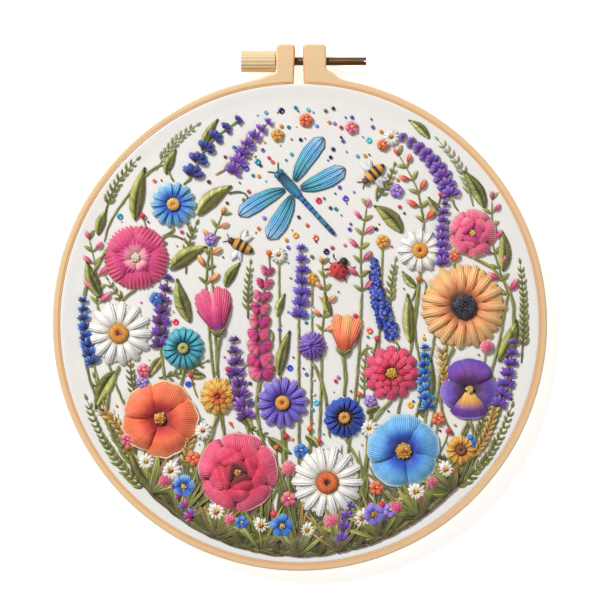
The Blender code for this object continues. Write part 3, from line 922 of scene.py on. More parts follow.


# Each flower: its slot, its middle (radius, low, high, shades, knot size, core) and its layers.
# A middle whose knot size is nothing is a button.
# A layer's edge sets how dark the painted shade at its petals' sides is.
FLOWERS = {
    "rose_crimson": (
        "crimson",
        (0.09, 1.02, 1.1, "honey butter", 0.42, None),
        ring(5, 10, 0.3, 1.04, 1.04, 0.56, "wine crimson raspberry pink pink", base=0.05, tip=0.6,
            lean=0.28, notch=0.04, edge=0.3, rim="blush"),
        ring(5, 46, 0.22, 0.76, 1.04, 0.46, "wine crimson raspberry pink", base=0.36, end=0.3, tip=0.46,
            lean=0.22, notch=0.04, edge=0.34, rim="blush"),
        ring(4, 14, 0.12, 0.51, 1.06, 0.4, "wine crimson raspberry", base=0.64, end=0.56, tip=0.44,
            lean=0.16, edge=0.34, rim="blush"),
        ring(3, 50, 0.04, 0.31, 1.14, 0.24, "wine wine crimson", base=0.84, end=0.8, tip=0.5, lean=0.08,
            edge=0.4, rim="pink"),
    ),
    "rose_pink": (
        "pink",
        (0.13, 1, 1.06, "butter gold", 0.42, None),
        ring(5, 0, 0.26, 1.04, 1.04, 0.56, "wine rose pink blush", base=0.05, tip=0.58, lean=0.26,
            notch=0.04, edge=0.34, rim="cream"),
        ring(5, 36, 0.16, 0.7, 1.06, 0.46, "wine rose pink blush", base=0.42, end=0.32, tip=0.44,
            lean=0.2, edge=0.38, rim="cream"),
        ring(3, 10, 0.06, 0.44, 1.12, 0.34, "wine magenta pink", base=0.72, end=0.64, tip=0.5, lean=0.1,
            rim="blush"),
    ),
    "cosmos_white": (
        "white",
        (0.31, 0.55, 1.12, "rust orange orange rust", 0, "brown slate moss"),
        ring(14, 13, 0.22, 0.92, 0.8, 0.34, "linen white white", tip=0.5, neck=0.6, base=0.06, edge=0.7,
            full=1.3, vary=0.04),
        ring(14, 0, 0.22, 1.03, 0.76, 0.66, "linen white white white", tip=0.56, neck=0.58, base=0.24,
            edge=0.7, full=1.3, vary=0.04),
    ),
    "cosmos_left": (
        "white",
        (0.29, 0.55, 1.12, "orange honey gold honey", 0, "rust brown"),
        ring(13, 14, 0.2, 0.9, 0.84, 0.3, "linen white white", tip=0.5, neck=0.5, base=0.02, edge=0.66,
            full=1.3, vary=0.04),
        ring(13, 0, 0.2, 1.03, 0.8, 0.66, "linen white white white", tip=0.56, neck=0.5, base=0.22,
            edge=0.66, full=1.3, vary=0.04),
    ),
    "cosmos_small": (
        "white",
        (0.32, 0.5, 1.15, "orange gold gold", 0, "rust"),
        ring(12, 0, 0.22, 1.03, 0.84, 0.62, "linen white white", tip=0.5, neck=0.5, base=0.2, edge=0.66,
            full=1.3, vary=0.04),
    ),
    "flax_blue": (
        "blue",
        (0.22, 0.6, 1, "gold gold butter", 0.46, (0.3, "rust")),
        ring(5, 20, 0.14, 1.04, 1.1, 0.84, "navy royal blue sky sky ice", tip=0.62, neck=0.3, base=0.1,
            lean=0.36, ruffle=0.012, edge=0.34, rim="ice"),
    ),
    "pansy_violet": (
        "violet",
        (0.12, 0.9, 1.05, "butter gold", 0.42, None),
        ring((62, 118, 90), 0, 0.12, 1.02, 0.92, 0.66, "navy plum purple violet", tip=0.44, neck=0.34,
            base=0.1, rim="violet"),
        ring((-12, 192), 0, 0.12, 0.98, 0.98, 0.74, "black plum violet lilac", tip=0.5, neck=0.34,
            base=0.2, rim="lilac"),
        ring((270,), 0, 0.1, 1, 1.25, 0.8, "butter gold purple violet", tip=0.4, neck=0.4, base=0.26,
            rim="lilac"),
    ),
    "dahlia_apricot": (
        "apricot",
        (0.29, 0.84, 1.2, "slate slate navy", 0.56, (0.45, "black")),
        ring(15, 12, 0.3, 0.98, 0.92, 0.42, "orange peach apricot", tip=0.76, neck=0.56, base=0.06,
            edge=0.52, full=1.25, vary=0.05),
        ring(15, 0, 0.26, 1.03, 0.84, 0.66, "rust peach apricot apricot", tip=0.8, neck=0.56, base=0.24,
            edge=0.52, full=1.25, vary=0.05),
    ),
    "dianthus_magenta": (
        "magenta",
        (0.14, 0.9, 1.15, "white butter", 0.44, None),
        ring(5, 54, 0.14, 1.04, 1.08, 0.78, "wine magenta rose pink", tip=0.4, neck=0.34, fringe=0.07,
            base=0.08, lean=0.22),
        ring(5, 18, 0.1, 0.6, 1.06, 0.5, "blush blush magenta rose", tip=0.4, neck=0.34, fringe=0.09,
            base=0.5, end=0.48),
    ),
    "hibiscus_coral": (
        "coral",
        (0.16, 0.56, 1, "gold butter", 0.5, (0.4, "scarlet")),
        ring(5, -6, 0.12, 1.04, 1.12, 0.8, "wine scarlet coral coral peach", tip=0.6, neck=0.26,
            base=0.08, lean=0.36, ruffle=0.022, edge=0.34, rim="cream"),
    ),
    "zinnia_raspberry": (
        "raspberry",
        (0.2, 0.94, 1.2, "gold gold butter", 0.44, None),
        ring(12, 0, 0.34, 1.03, 1.02, 0.5, "wine raspberry raspberry pink", tip=0.55, neck=0.6,
            base=0.06),
        ring(12, 15, 0.28, 0.8, 1.04, 0.42, "wine raspberry pink", tip=0.55, neck=0.6, base=0.38,
            end=0.32),
        ring(9, 5, 0.2, 0.56, 1.06, 0.36, "wine crimson raspberry", tip=0.55, neck=0.6, base=0.64,
            end=0.58),
    ),
    "marigold_gold": (
        "gold",
        (0.1, 1, 1.05, "rust orange", 0.4, None),
        ring(11, 0, 0.34, 1.03, 1.06, 0.42, "rust gold butter", tip=0.45, neck=0.6, base=0.08,
            fringe=0.05),
        ring(10, 14, 0.26, 0.78, 1.08, 0.36, "orange gold butter", tip=0.45, neck=0.6, base=0.4,
            end=0.36, fringe=0.05),
        ring(7, 5, 0.1, 0.5, 1.1, 0.32, "rust orange gold", tip=0.45, neck=0.6, base=0.68, end=0.66),
    ),
    "aster_lilac": (
        "lilac",
        (0.27, 0.6, 1.15, "orange gold gold", 0, "rust orange"),
        ring(14, 6, 0.24, 1.03, 0.94, 0.7, "indigo violet periwinkle lilac", tip=0.6, neck=0.5,
            base=0.16),
    ),
    "aster_sky": (
        "sky",
        (0.26, 0.6, 1.15, "gold gold butter", 0, "honey rust"),
        ring(14, 0, 0.24, 1.03, 0.96, 0.7, "royal blue sky ice", tip=0.6, neck=0.5, base=0.16),
    ),
    "aster_gold": (
        "gold",
        (0.34, 0.6, 1.2, "brown rust brown", 0, "black brown"),
        ring(12, 0, 0.24, 1.03, 0.98, 0.66, "rust gold butter", tip=0.6, neck=0.5, base=0.16),
    ),
    "button_teal": (
        "teal",
        (0.24, 0.6, 1.1, "olive lime lime", 0, "moss"),
        ring(16, 0, 0.2, 1, 1.02, 0.74, "navy teal aqua aqua", tip=0.32, neck=0.4, base=0.2),
    ),
    "button_blue": (
        "royal",
        (0.26, 0.6, 1.1, "honey gold peach", 0, "rust"),
        ring(16, 10, 0.2, 1, 1.02, 0.74, "navy navy royal blue", tip=0.32, neck=0.4, base=0.2),
    ),
    "forget_blue_a": (
        "cornflower",
        (0.22, 0.7, 1.05, "butter gold", 0.42, None),
        ring(5, 18, 0.1, 1.04, 1.02, 0.76, "navy blue sky", tip=0.62, neck=0.4, base=0.1),
    ),
    "forget_blue_b": (
        "cornflower",
        (0.22, 0.7, 1.05, "orange gold", 0.42, None),
        ring(5, 50, 0.1, 1.04, 1.02, 0.76, "indigo periwinkle lilac", tip=0.62, neck=0.4, base=0.1),
    ),
    "forget_blue_c": (
        "cornflower",
        (0.22, 0.7, 1.05, "butter gold", 0.42, None),
        ring(5, 80, 0.1, 1.04, 1.02, 0.76, "navy blue ice", tip=0.62, neck=0.4, base=0.1),
    ),
}


def flower(node):
    slot, middle, *layers = FLOWERS[node]
    place, radius, height = centre_of(node)
    work = Work()
    for petals, turn, start, reach, width, rise, shades, more in layers:
        start, reach, rise = start * radius, reach * radius, rise * height
        tall = {key: more[key] * height for key in ("base", "end", "lean") if key in more}
        more = {**more, **tall}
        if isinstance(petals, tuple):
            for angle in petals:
                way = math.radians(angle)
                petal(work, place, way, start, reach, radius * width, rise, shades, **more)
        else:
            whorl(work, place, petals, turn, start, reach, width, rise, shades, **more)
    share, low, high, shades, size, core = middle
    if size:
        eye(work, place, share * radius, low * height, high * height, shades, size, core)
    else:
        button(work, place, share * radius, low * height, high * height, shades, core)
    return work.make(f"{node}_stitches", slot, node, padded=True)


class EMBROIDERY_OT_flowers(Undoable, bpy.types.Operator):
    """Works the round flower heads in padded satin stitch with knotted middles"""

    bl_idname = "embroidery.flowers"
    bl_label = "Flower heads"

    def execute(self, context):
        for node in FLOWERS:
            flower(node)
        return {"FINISHED"}


# Lines of the swept nodes, as the solids have them
LINES = {
    "spike_bluebell": (-44, 59, -25, 82, 3), "spike_lilac": (61, 51, 42, 75, -3),
    "spike_foxglove": (-15.5, -18.5, -13, 22, 2), "spike_grape": (38, -6.5, 30, 26, 2),
    "tulip_pink": (-32.5, -4.5, -36, 14, 0), "tulip_coral": (17.5, -12.5, 19.5, 4, 0),
    "dragonfly_body": (-8, 60, 14, 36, 0), "wing_fore_right": (-2.1, 57.5, 9.7, 75, 1),
    "wing_hind_right": (0.2, 54.6, 18.2, 62.8, -1), "wing_fore_left": (-6, 54, -24.6, 43.5, -1),
    "wing_hind_left": (-3.2, 51.7, -13, 34.2, 1), "bee_body_right": (27, 58, 34, 64, 0),
    "bee_body_left": (-27, 33, -19, 29, 0),
}


def spike(work, line, low, high, gap, size, angles, shades, rise, width=0.55, tip=0.6):
    """Florets in tiers along a bowed line, smaller towards its end."""
    count = max(3, round(span(line) * (high - low) / gap))
    for tier in range(count):
        far = tier / max(count - 1, 1)
        point, heading = headed(line, low + (high - low) * far)
        scale = 1 - 0.5 * far**1.5
        for each, angle in enumerate(angles):
            turn = heading + math.radians(angle + RNG.normal(0, 4))
            reach = size * scale * (1 + RNG.normal(0, 0.05))
            shape = {"tip": tip, "neck": 0.5, "base": 0.5 + 0.25 * (each % 2), "rings": 7, "grid": 0.62}
            pick = shades[(tier + each) % len(shades)]
            petal(work, point, turn, 0.3, reach, max(reach * width, 1.0), rise * scale, pick, **shape)


# Spikes of florets: slot, stem radius and what the spike needs
SPIKES = {
    "spike_bluebell": (
        ("indigo", 0.55),
        (0.02, 0.98, 4.6, 5.0, (62, -62, 20, -20), ("navy indigo blue", "navy indigo periwinkle"), 1.7),
    ),
    "spike_lilac": (
        ("mauve", 0.55),
        (
            *(0.02, 1.0, 3.4, 4.4, (75, -75, 35, -35, 0)),
            *(("plum purple lilac", "plum violet lilac", "purple purple lilac"), 1.6),
        ),
    ),
    "spike_foxglove": (
        ("rose", 0.6),
        (
            *(0.0, 1.0, 4.4, 5.6, (118, -118, 150, -150, 88, -88)),
            *(("magenta rose blush", "plum magenta pink"), 1.9, 0.62, 0.3),
        ),
    ),
}
# Petals of the tulips, the front one last: angle, reach, width, rise, base and shades
TULIPS = {
    "tulip_pink": (
        "rose",
        (17, 1.0, 7.4, 0.62, 0.1, "plum magenta rose pink"),
        (-17, 1.0, 7.4, 0.62, 0.1, "plum magenta rose pink"),
        (9, 1.04, 6.4, 0.70, 0.5, "purple magenta rose pink"),
        (-9, 1.04, 6.4, 0.70, 0.5, "purple magenta rose pink"),
        (0, 0.94, 7.6, 0.70, 1.0, "violet magenta pink blush"),
    ),
    "tulip_coral": (
        "coral",
        (16, 1.0, 6.6, 0.62, 0.1, "scarlet coral peach"),
        (-16, 1.0, 6.6, 0.62, 0.1, "scarlet coral peach"),
        (0, 0.98, 7.0, 0.74, 0.8, "scarlet coral peach butter"),
    ),
}


def tulip(node):
    """A tulip in profile, on its sepals."""
    line = LINES[node]
    slot, *petals = TULIPS[node]
    height = centre_of(node)[2]
    place, heading = line[:2], math.atan2(line[3] - line[1], line[2] - line[0])
    work = Work()
    for angle, reach, width, rise, base, shades in petals:
        way, reach, rise = heading + math.radians(angle), span(line) * reach, rise * height
        shape = {"tip": 0.62, "neck": 0.42, "base": base, "rings": 11}
        petal(work, place, way, 0.0, reach, width, rise, shades, **shape)
    for angle in (-48, -16, 20, 50):
        way = heading + math.radians(angle)
        shape = {"tip": 0.8, "neck": 0.6, "base": 0.9, "rings": 7}
        petal(work, place, way, -0.6, 4.2, 2.0, 1.0, "moss leaf", **shape)
    work.make(f"{node}_stitches", slot, node, padded=True)


def grape():
    """A grape hyacinth: a spike packed with round knots."""
    work = Work()
    line = LINES["spike_grape"]
    stalk(work, line, 0.5, step=1.1)
    share = np.linspace(0.02, 1.0, 230)
    points, left = bowed(line, share)
    widest = 3.4
    half = np.interp(share, (0, 0.12, 0.4, 0.8, 1), (0.5, 1, 1, 0.62, 0.2)) * widest
    side = RNG.uniform(-1, 1, len(share))
    up = 0.5 + 1.5 * np.sqrt(1 - side**2) * half / widest
    places = lifted(points + left * (half * side)[:, None], up)
    knots(work, places, 0.78, "indigo royal blue periwinkle navy")
    work.make("spike_grape_stitches", "indigo", "spike_grape", padded=True)


def thistle():
    """A thistle's head: three tiers of fine fringed petals."""
    work = Work()
    place, radius, height = centre_of("thistle_purple")
    shape = {"tip": 0.9, "neck": 0.5, "rings": 7}
    for count, turn, start, reach, rise, shades, more in (
        (18, 0, radius * 0.1, 1.02, 0.5, "plum purple lilac", {"base": 0.4, "fringe": 0.1}),
        (13, 9, radius * 0.1, 0.78, 0.5, "plum purple periwinkle", {"base": 1.4, "end": 1.2, "fringe": 0.1}),
        (9, 3, 0.1, 0.5, 0.4, "plum violet lilac", {"base": 2.4, "end": 2.2}),
    ):
        reach, rise = radius * reach, height * rise
        whorl(work, place, count, turn, start, reach, 0.9, rise, shades, **shape, **more)
    work.make("thistle_purple_stitches", "purple", "thistle_purple", padded=True)


class EMBROIDERY_OT_spikes(Undoable, bpy.types.Operator):
    """Works the flower spikes, the two tulips and the thistle"""

    bl_idname = "embroidery.spikes"
    bl_label = "Spikes and tulips"

    def execute(self, context):
        for node, ((slot, stem), florets) in SPIKES.items():
            work = Work()
            stalk(work, LINES[node], stem, step=1.1)
            spike(work, LINES[node], *florets)
            work.make(f"{node}_stitches", slot, node, padded=True)
        grape()
        for node in TULIPS:
            tulip(node)
        thistle()
        return {"FINISHED"}


# Leaves and stems

# Padded leaves, as the solids have them: line and width
LEAVES = (
    (-66.5, 42, -62.5, 63, 1, 6), (-80.5, 11, -86, 25, 0.8, 5.6), (-74.5, -19.5, -82.5, -34.5, -1, 6.4),
    (-67, -53, -54.5, -70.5, -1.5, 6.6), (-39, -76, -17.5, -86, -1.6, 6.2),
    (2.5, -81.5, 21, -85.5, -1.2, 5.2), (39, -71.5, 57.5, -66, -1.6, 5.8),
    (80.5, -15, 87.5, 1.5, -1, 6.2), (82, 21.5, 81.5, 37.5, -1, 5), (74.5, 47, 66, 61.5, -1, 5.4),
    (-41, 44, -27.5, 55.5, 1.4, 6.6), (-52, 22, -37.5, 31, 1.2, 6.4), (-44.5, 1, -49.5, 18, 0.8, 6),
    (-8.5, -20.5, -4, -3, 0.6, 4.6), (44.5, -7.5, 43.5, 12, 0, 5.2), (41, 37, 30, 47.5, -1.2, 6.2),
    (51, -34, 53, -14, 0, 5.4),
)
GREENS = (
    ("olive leaf lime", "forest moss olive"),
    ("moss leaf leaf", "forest moss moss"),
    ("leaf lime sage", "moss moss leaf"),
    ("olive leaf lime", "earth moss olive"),
)
# Extra leaves that only the needle makes
SMALL_LEAVES = (
    (-30, 15, -24, 24.5, 0.8, 4.2), (-56, -14, -60.5, -21.5, -0.5, 3.6),
    (-38.5, -21, -46, -19.5, 0.4, 3.2), (-24.5, -36.5, -19, -43, 0.5, 4),
    (-12.5, -46, -3.5, -52.5, -0.6, 4.2), (2.5, -45.5, 8, -50.5, 0.5, 3.4),
    (27, -36, 32, -33.5, 0.2, 3), (57.5, -60.5, 66.5, -58, -0.8, 4), (83, -22, 85.5, -31, -0.6, 4),
    (46.5, 15, 41.5, 21, 0.5, 3.4), (-81.5, 36, -78, 46, 0.6, 4), (-54, 60.5, -50, 70, 0.6, 4),
    (-39.5, 70, -33, 82.5, 0.8, 3.6), (52, 75, 44, 82, -0.8, 3.6), (57.5, 44, 52, 51, 0.6, 3.8),
    (12.5, 3.5, 10, 12.5, 0.5, 3.2), (-47.5, -74.5, -38.5, -80.5, -0.6, 4), (-9, 3, -6, 12, 0.5, 3.4),
)


class EMBROIDERY_OT_leaves(Undoable, bpy.types.Operator):
    """Works the padded leaves in fishbone stitch"""

    bl_idname = "embroidery.leaves"
    bl_label = "Leaves"

    def execute(self, context):
        work = Work()
        for each, leaf in enumerate(LEAVES):
            fishbone(work, leaf, leaf[5], 1.35, *GREENS[each % 4])
        nodes = (f"leaf_{each:02d}" for each in range(1, len(LEAVES) + 1))
        work.make("leaf_stitches", "green", *nodes, padded=True)
        work = Work()
        for each, leaf in enumerate(SMALL_LEAVES):
            fishbone(work, leaf, leaf[5], 0.9, *GREENS[(each + 1) % 4], grid=0.62)
        work.make("small_leaf_stitches", "green")
        return {"FINISHED"}


# Stems: the radius, the shades and the places of the route, x and y in turn
STEMS = (
    (0.85, "leaf olive", -32.5, -5.2, -33.5, -13, -33.4, -21),
    (0.85, "leaf olive", 17.3, -13, 18.3, -21, 17.8, -29.5),
    (0.75, "leaf olive", 5.3, -16, 8.6, -23.5, 10.4, -31, 12, -46),
    (0.8, "leaf moss", -25, -44, -16, -50, -7, -62, -2, -88),
    (0.75, "leaf moss", -33.4, -37, -36, -46, -41.5, -62, -30, -84),
    (0.75, "leaf moss", -15.5, -18.5, -17.5, -34, -14, -50, -5, -68, -1, -88),
    (0.75, "leaf moss", -7, -42, -6, -56, -3, -72, 0, -88),
    (0.8, "olive moss", 11, -78, 7, -83, 2, -89),
    (0.7, "leaf moss", 18, -46, 23.5, -56, 27, -68, 14, -88),
    (0.75, "leaf moss", 37, -30.5, 28.5, -42, 26.5, -60, 22, -78, 12, -89.5),
    (0.8, "leaf moss", 44, -66.5, 38, -74, 26, -84.5),
    (0.7, "leaf moss", 65, -57, 60, -64, 48, -73.5, 32, -84),
    (0.75, "leaf moss", 68.5, -39, 70.5, -48, 67.5, -60.5, 50, -75),
    (0.8, "leaf olive", 62, -9.5, 56.5, -22, 57.5, -36, 62, -45),
    (0.7, "leaf moss", 69.5, 27, 79, 21, 86, 8, 84.5, -16, 80, -38, 70, -56),
    (0.65, "leaf olive", 48.5, 20.5, 46.5, 4, 47, -8, 50.5, -24),
    (0.6, "leaf olive", 61, 51, 62.5, 47.5, 64, 45.5),
    (0.6, "leaf olive", 38, -6.5, 40, -9.5, 39.5, -12),
    (0.8, "leaf moss", -57, -53, -60, -60, -54, -70, -40, -81),
    (0.7, "leaf olive", -47, -18.5, -47.5, -23, -49, -27),
    (0.75, "leaf moss", -73, -17, -77.5, -30, -76, -44, -66, -60, -56, -71),
    (0.7, "leaf olive", -66, 14.5, -70, 11, -73, 8.5),
    (0.7, "leaf moss", -78, 30, -86.5, 14, -88, -4, -85, -22, -79, -38),
    (0.65, "leaf olive", -51, 39, -52, 37, -55.5, 35),
    (0.6, "leaf olive", -44, 59, -45.5, 57.5, -47, 56),
    (0.55, "leaf olive", -51, 57.5, -56, 64, -66, 56, -76, 42, -79, 33),
)
# Thin sprigs of side leaves: line, leaf length, angle and shades
SPRIGS = (
    (-46, 20, -42, 40, 1.5, 4.2, 38, "moss leaf"), (-57, -22, -38, -15.5, -1, 3.2, 40, "moss olive"),
    (-58, 62, -42, 80, 1.8, 4, 36, "sage sage"), (-79, 44, -66, 66, 2, 4, 36, "moss leaf"),
    (-21, 2, -20, 24, 0.6, 3.6, 34, "moss leaf"), (70, 47.5, 56, 74, -2.6, 4, 36, "sage sage"),
    (26, -30, 27, -10, 0.6, 3, 36, "olive leaf"), (-22, -42, -12, -46.5, 0.5, 3, 40, "moss olive"),
    (48, -36.5, 50, -36, 0, 3, 40, "moss olive"), (-56, -72, -86, -31, 4.5, 4.8, 30, "moss olive leaf"),
    (-62, -63, -83, -22, 3, 4.4, 32, "moss olive leaf"),
    (57, -71, 85.5, -34, -4.5, 4.8, 30, "moss olive leaf"),
    (61, -64, 78, -24, -2.5, 4.4, 32, "moss olive leaf"),
    (89.5, -16, 89, 24, -1.2, 4.2, 32, "moss leaf"),
    (-66, -31, -68.5, -14.5, 0.8, 3.6, 36, "moss olive"),
    (36.5, 6, 38.5, 25, 0.6, 3.8, 36, "olive leaf"), (31, 50, 38, 63.5, -0.8, 3.4, 38, "moss leaf"),
    (-71, 9, -77.5, 17.5, 0.5, 3.2, 38, "moss leaf"),
)


def side_leaves(work, line, size, angle, shades):
    """A thin stem with small leaves in pairs, and one at its end."""
    stalk(work, line, 0.42, shades, step=1.4)
    count = max(2, int(span(line) / 3.0))
    for each in range(count):
        share = 0.18 + 0.8 * each / count
        point, heading = headed(line, share)
        for hand in (1, -1):
            way = heading + hand * math.radians(angle + RNG.normal(0, 5))
            reach = size * (1 - 0.45 * share) * (1 + RNG.normal(0, 0.06))
            leaf = (*point, *beyond(point, way, reach), 0.25 * hand)
            blade(work, leaf, reach * 0.34, 0.55, shades, grid=0.6, rings=9)
    tip = beyond(line[2:4], headed(line, 0.99)[1], size * 0.6)
    blade(work, (*line[2:4], *tip, 0.0), size * 0.24, 0.5, shades, grid=0.6, rings=9)


# Curled tendrils: root, heading in degrees, length, hand and shade
TENDRILS = (
    (-47, 34, 150, 13, 1, "olive"), (-29, 52.5, 20, 12, -1, "bark"), (49.5, 10, 60, 12, 1, "olive"),
    (31, 49.5, 100, 12, -1, "leaf"), (-12, -9, 60, 10, 1, "olive"), (24, -14, 70, 10, -1, "leaf"),
    (-66, -12, 110, 11, -1, "olive"), (63, -8, 15, 10, 1, "olive"), (-23, -22, 100, 9, -1, "leaf"),
)


def tendril(work, x, y, degrees, size, hand, shade):
    """A couched tendril that curls in at its end."""
    heading = math.radians(degrees)
    route = [(x, y)]
    for each in range(30):
        heading += hand * (0.04 + 0.0011 * each**2) * 1.15
        x += size / 16 * math.cos(heading) * (1 - each / 46)
        y += size / 16 * math.sin(heading) * (1 - each / 46)
        route.append((x, y))
    rope(work, route, 0.46, shade, lift=0.1, taper=0.45, step=0.9)


class EMBROIDERY_OT_stems(Undoable, bpy.types.Operator):
    """Works the stems in stem stitch and the sprigs in small satin leaves"""

    bl_idname = "embroidery.stems"
    bl_label = "Stems and sprigs"

    def execute(self, context):
        work = Work()
        for radius, shades, *route in STEMS:
            rope(work, np.reshape(route, (-1, 2)), radius, shades)
        nodes = ("stem_tulip_pink", "stem_tulip_coral", "stem_thistle")
        work.make("stem_stitches", "green", *nodes)
        work = Work()
        for *line, size, angle, shades in SPRIGS:
            side_leaves(work, line, size, angle, shades)
        for curl in TENDRILS:
            tendril(work, *curl)
        work.make("sprig_stitches", "green")
        return {"FINISHED"}


# Sprays and small flowers

# Slim flower spikes: line, bud length and the shades of buds in turn
SLIM_SPIKES = (
    (-21.5, -38, -26.5, -7, 1.2, 4.3, ("plum purple lilac", "navy plum violet")),
    (-0.5, 3, 0.5, 30, -1, 4, ("indigo violet periwinkle", "plum violet lilac")),
    (-56.5, -9, -53.5, 18, 0.8, 4, ("plum purple violet", "navy plum purple")),
    (-27, 61, -13, 81, 1.4, 3.8, ("plum purple lilac", "plum violet lilac")),
    (-83.5, -16, -87.5, 9, 1, 3.4, ("navy indigo blue", "navy royal sky")),
    (17, -88, 20, -74, 0.4, 4.2, ("plum purple lilac", "plum violet lilac")),
    (-43, -78, -50, -66, 0.4, 3.8, ("plum purple lilac", "plum magenta lilac")),
    (80, -33, 86, -8, -1, 3.8, ("plum purple violet", "plum violet lilac")),
    (57.5, 24, 58.5, 48, 0.6, 3.4, ("plum purple lilac", "plum violet lilac")),
    (51.5, -34, 50.5, -10, 0.6, 3.4, ("navy royal sky", "navy blue aqua")),
)
# Sprays of buds on short stalks: line, bud length and shades
BUD_SPRAYS = (
    (25, 13, 27, 47, 1.4, 5.4, "rose pink blush"), (50, 41, 40, 68, -2, 5.4, "scarlet coral blush"),
    (-38, 16, -31.5, 44, 1.6, 5.2, "orange peach butter"),
    (-82, 8, -85, 34, -1.2, 5.4, "rose pink blush"), (9, -3, 9, 24, -1.2, 4.8, "coral peach cream"),
    (84, 12, 77.5, 50, 2.6, 5.2, "magenta rose blush"),
)
# Ears of wheat
EARS = (
    (-65, -57, -78, -36.5, -1.2), (65, -59, 78.5, -36, -1.8), (-47, -60, -44, -46, 0.5),
    (62, -34, 57.5, -12, 1), (-34, 60, -22, 71, -1.2),
)
# Small flowers: place, radius and kind
SMALL_FLOWERS = (
    (-52, -59.5, 4.3, "daisy"), (-62, -56, 3.6, "daisy"), (-33.5, -76, 4.2, "daisy"),
    (-15.5, -81.5, 3.8, "daisy"), (3, -83.5, 3.6, "daisy"), (25.5, -78.5, 4.3, "daisy"),
    (47, -68, 4.2, "daisy"), (59, -59, 3.8, "daisy"), (28, -42.5, 3.6, "daisy"),
    (-39, -43.5, 3.6, "daisy"), (-8.5, 27.5, 3.2, "daisy"), (37, 75, 3.4, "daisy"),
    (-43, -54.5, 3, "coral"), (-69.5, -47, 3, "pink"), (-4.5, -71, 3.2, "pink"),
    (31, -66.5, 3, "coral"), (36.5, -75.5, 3.2, "lilac"), (-23.5, -80.5, 3, "blue"),
    (68.5, -48, 3.2, "blue"), (0.5, -51.5, 3, "blue"), (-63, -19, 2.8, "pink"),
    (56, -38.5, 2.8, "coral"), (28.5, -31.5, 2.6, "lilac"), (-58, 10, 2.8, "blue"),
    (2.5, 82, 2.8, "coral"), (21, 79, 2.6, "pink"), (-9, 76, 2.6, "gold"), (33.5, 33, 2.8, "gold"),
    (-36, 34, 2.6, "lilac"), (39, -74, 3.4, "pompom"), (-54.5, -63.5, 3.6, "pompom"),
    (13, -79.5, 3.6, "pompom"), (53.5, -64, 3.4, "pompom"), (-28.5, -79, 3, "pompom"),
    (-4.5, -58.5, 3.2, "pompom"), (75.5, -9.5, 2.8, "pompom"), (39, 53.5, 2.8, "lilac"),
    (33.5, 72, 2.3, "coral"), (-63.5, -24, 2.5, "lilac"), (62.5, 27.5, 2.3, "coral"),
    (5, 18, 2.4, "gold"),
)
# Berries: place, radius and shade
BERRIES = (
    (-46, -72, 1.5, "scarlet"), (-55.5, -65.5, 1.2, "orange"), (-10.5, -77, 1.5, "crimson"),
    (-9.5, -50, 1.1, "orange"), (-5.5, -45.5, 1.2, "crimson"), (4, -42.5, 1.2, "orange"),
    (8, -47.5, 1, "crimson"), (33, -73, 1.4, "scarlet"), (32, -79.5, 1.3, "orange"),
    (48.5, -70.5, 1.3, "crimson"), (62, -59, 1.3, "orange"), (68.5, -51.5, 1.2, "crimson"),
    (-69.5, -50, 1.3, "orange"), (-44, -21, 1.1, "crimson"), (-29, -18.5, 1.2, "crimson"),
    (24, -28.5, 1.1, "orange"), (60, -43.5, 1.2, "crimson"), (22.5, 3, 1.1, "crimson"),
    (-12.5, 28.5, 1.2, "orange"), (-46.5, 44.5, 1.1, "crimson"), (48, 18, 1.1, "orange"),
    (31, -6, 1.1, "crimson"), (-63.5, 43.5, 1.2, "crimson"), (57, 52, 1.1, "crimson"),
)
POSY_SHADES = {
    "coral": "scarlet coral peach",
    "pink": "magenta pink blush",
    "lilac": "violet lilac lilac",
    "blue": "royal blue sky",
    "gold": "orange gold butter",
}
POMPOM_SHADES = ("magenta rose blush", "crimson pink blush", "plum rose linen")


def footing(work, x, y, radius, spread=0.55):
    """A stalk from a place down to the foot of the garland."""
    foot = spread * x
    ground = -math.sqrt(93.2**2 - foot**2) + 1.2 * (foot / 45.0) ** 2
    shares = ((0, 0), (0.18, 0.34), (0.62, 0.72), (1, 1))
    route = [(x + across * (foot - x), y + down * (ground - y)) for across, down in shares]
    if work:
        rope(work, route, radius, "leaf moss", taper=-0.2, step=1.8)
    return route


def slim_spike(work, line, size, shades):
    """Whorls of narrow buds up a stem, smaller at its end."""
    count = max(4, round(span(line) / (size * 0.92)))
    for tier in range(count):
        share = tier / (count - 1)
        point, heading = headed(line, share)
        scale = 1.08 - 0.5 * share**2
        for each, angle in enumerate((-82, 82, -50, 50, -18, 18)):
            way = heading + math.radians(angle + RNG.normal(0, 6))
            reach = size * scale * RNG.uniform(0.9, 1.12)
            bud = (*point, *beyond(point, way, reach), 0.0)
            pick = shades[(tier + each) % len(shades)]
            blade(work, bud, reach * 0.46, 1.0, pick, lift=0.3 + 0.18 * each, grid=0.58)


def bud_spray(work, green, line, size, shades):
    """Buds on short stalks to both sides of a stem, each with its small leaf."""
    count = max(5, round(span(line) / (size * 1.05)))
    for each in range(count + 1):
        last = each == count
        point, heading = headed(line, each / count)
        hand = 1 if each % 2 else -1
        way = heading + (0 if last else hand * math.radians(48 + RNG.normal(0, 6)))
        root = beyond(point, way, 0.2 if last else size * 0.35)
        reach = size * (1 - 0.35 * each / count)
        stem = (*point, *beyond(root, way, reach * 0.3), 0.0)
        blade(green, stem, 0.8, 0.5, "olive leaf", grid=0.6, form=BLADE)
        bud = (*root, *beyond(root, way, reach), 0.2 * hand)
        blade(work, bud, reach * 0.52, 1.1, shades, lift=0.3, grid=0.58)
        way = heading - hand * math.radians(50 + RNG.normal(0, 6))
        leaf = (*point, *beyond(point, way, size * 0.8), 0.3 * hand)
        blade(green, leaf, size * 0.30, 0.6, "olive leaf lime", grid=0.58)


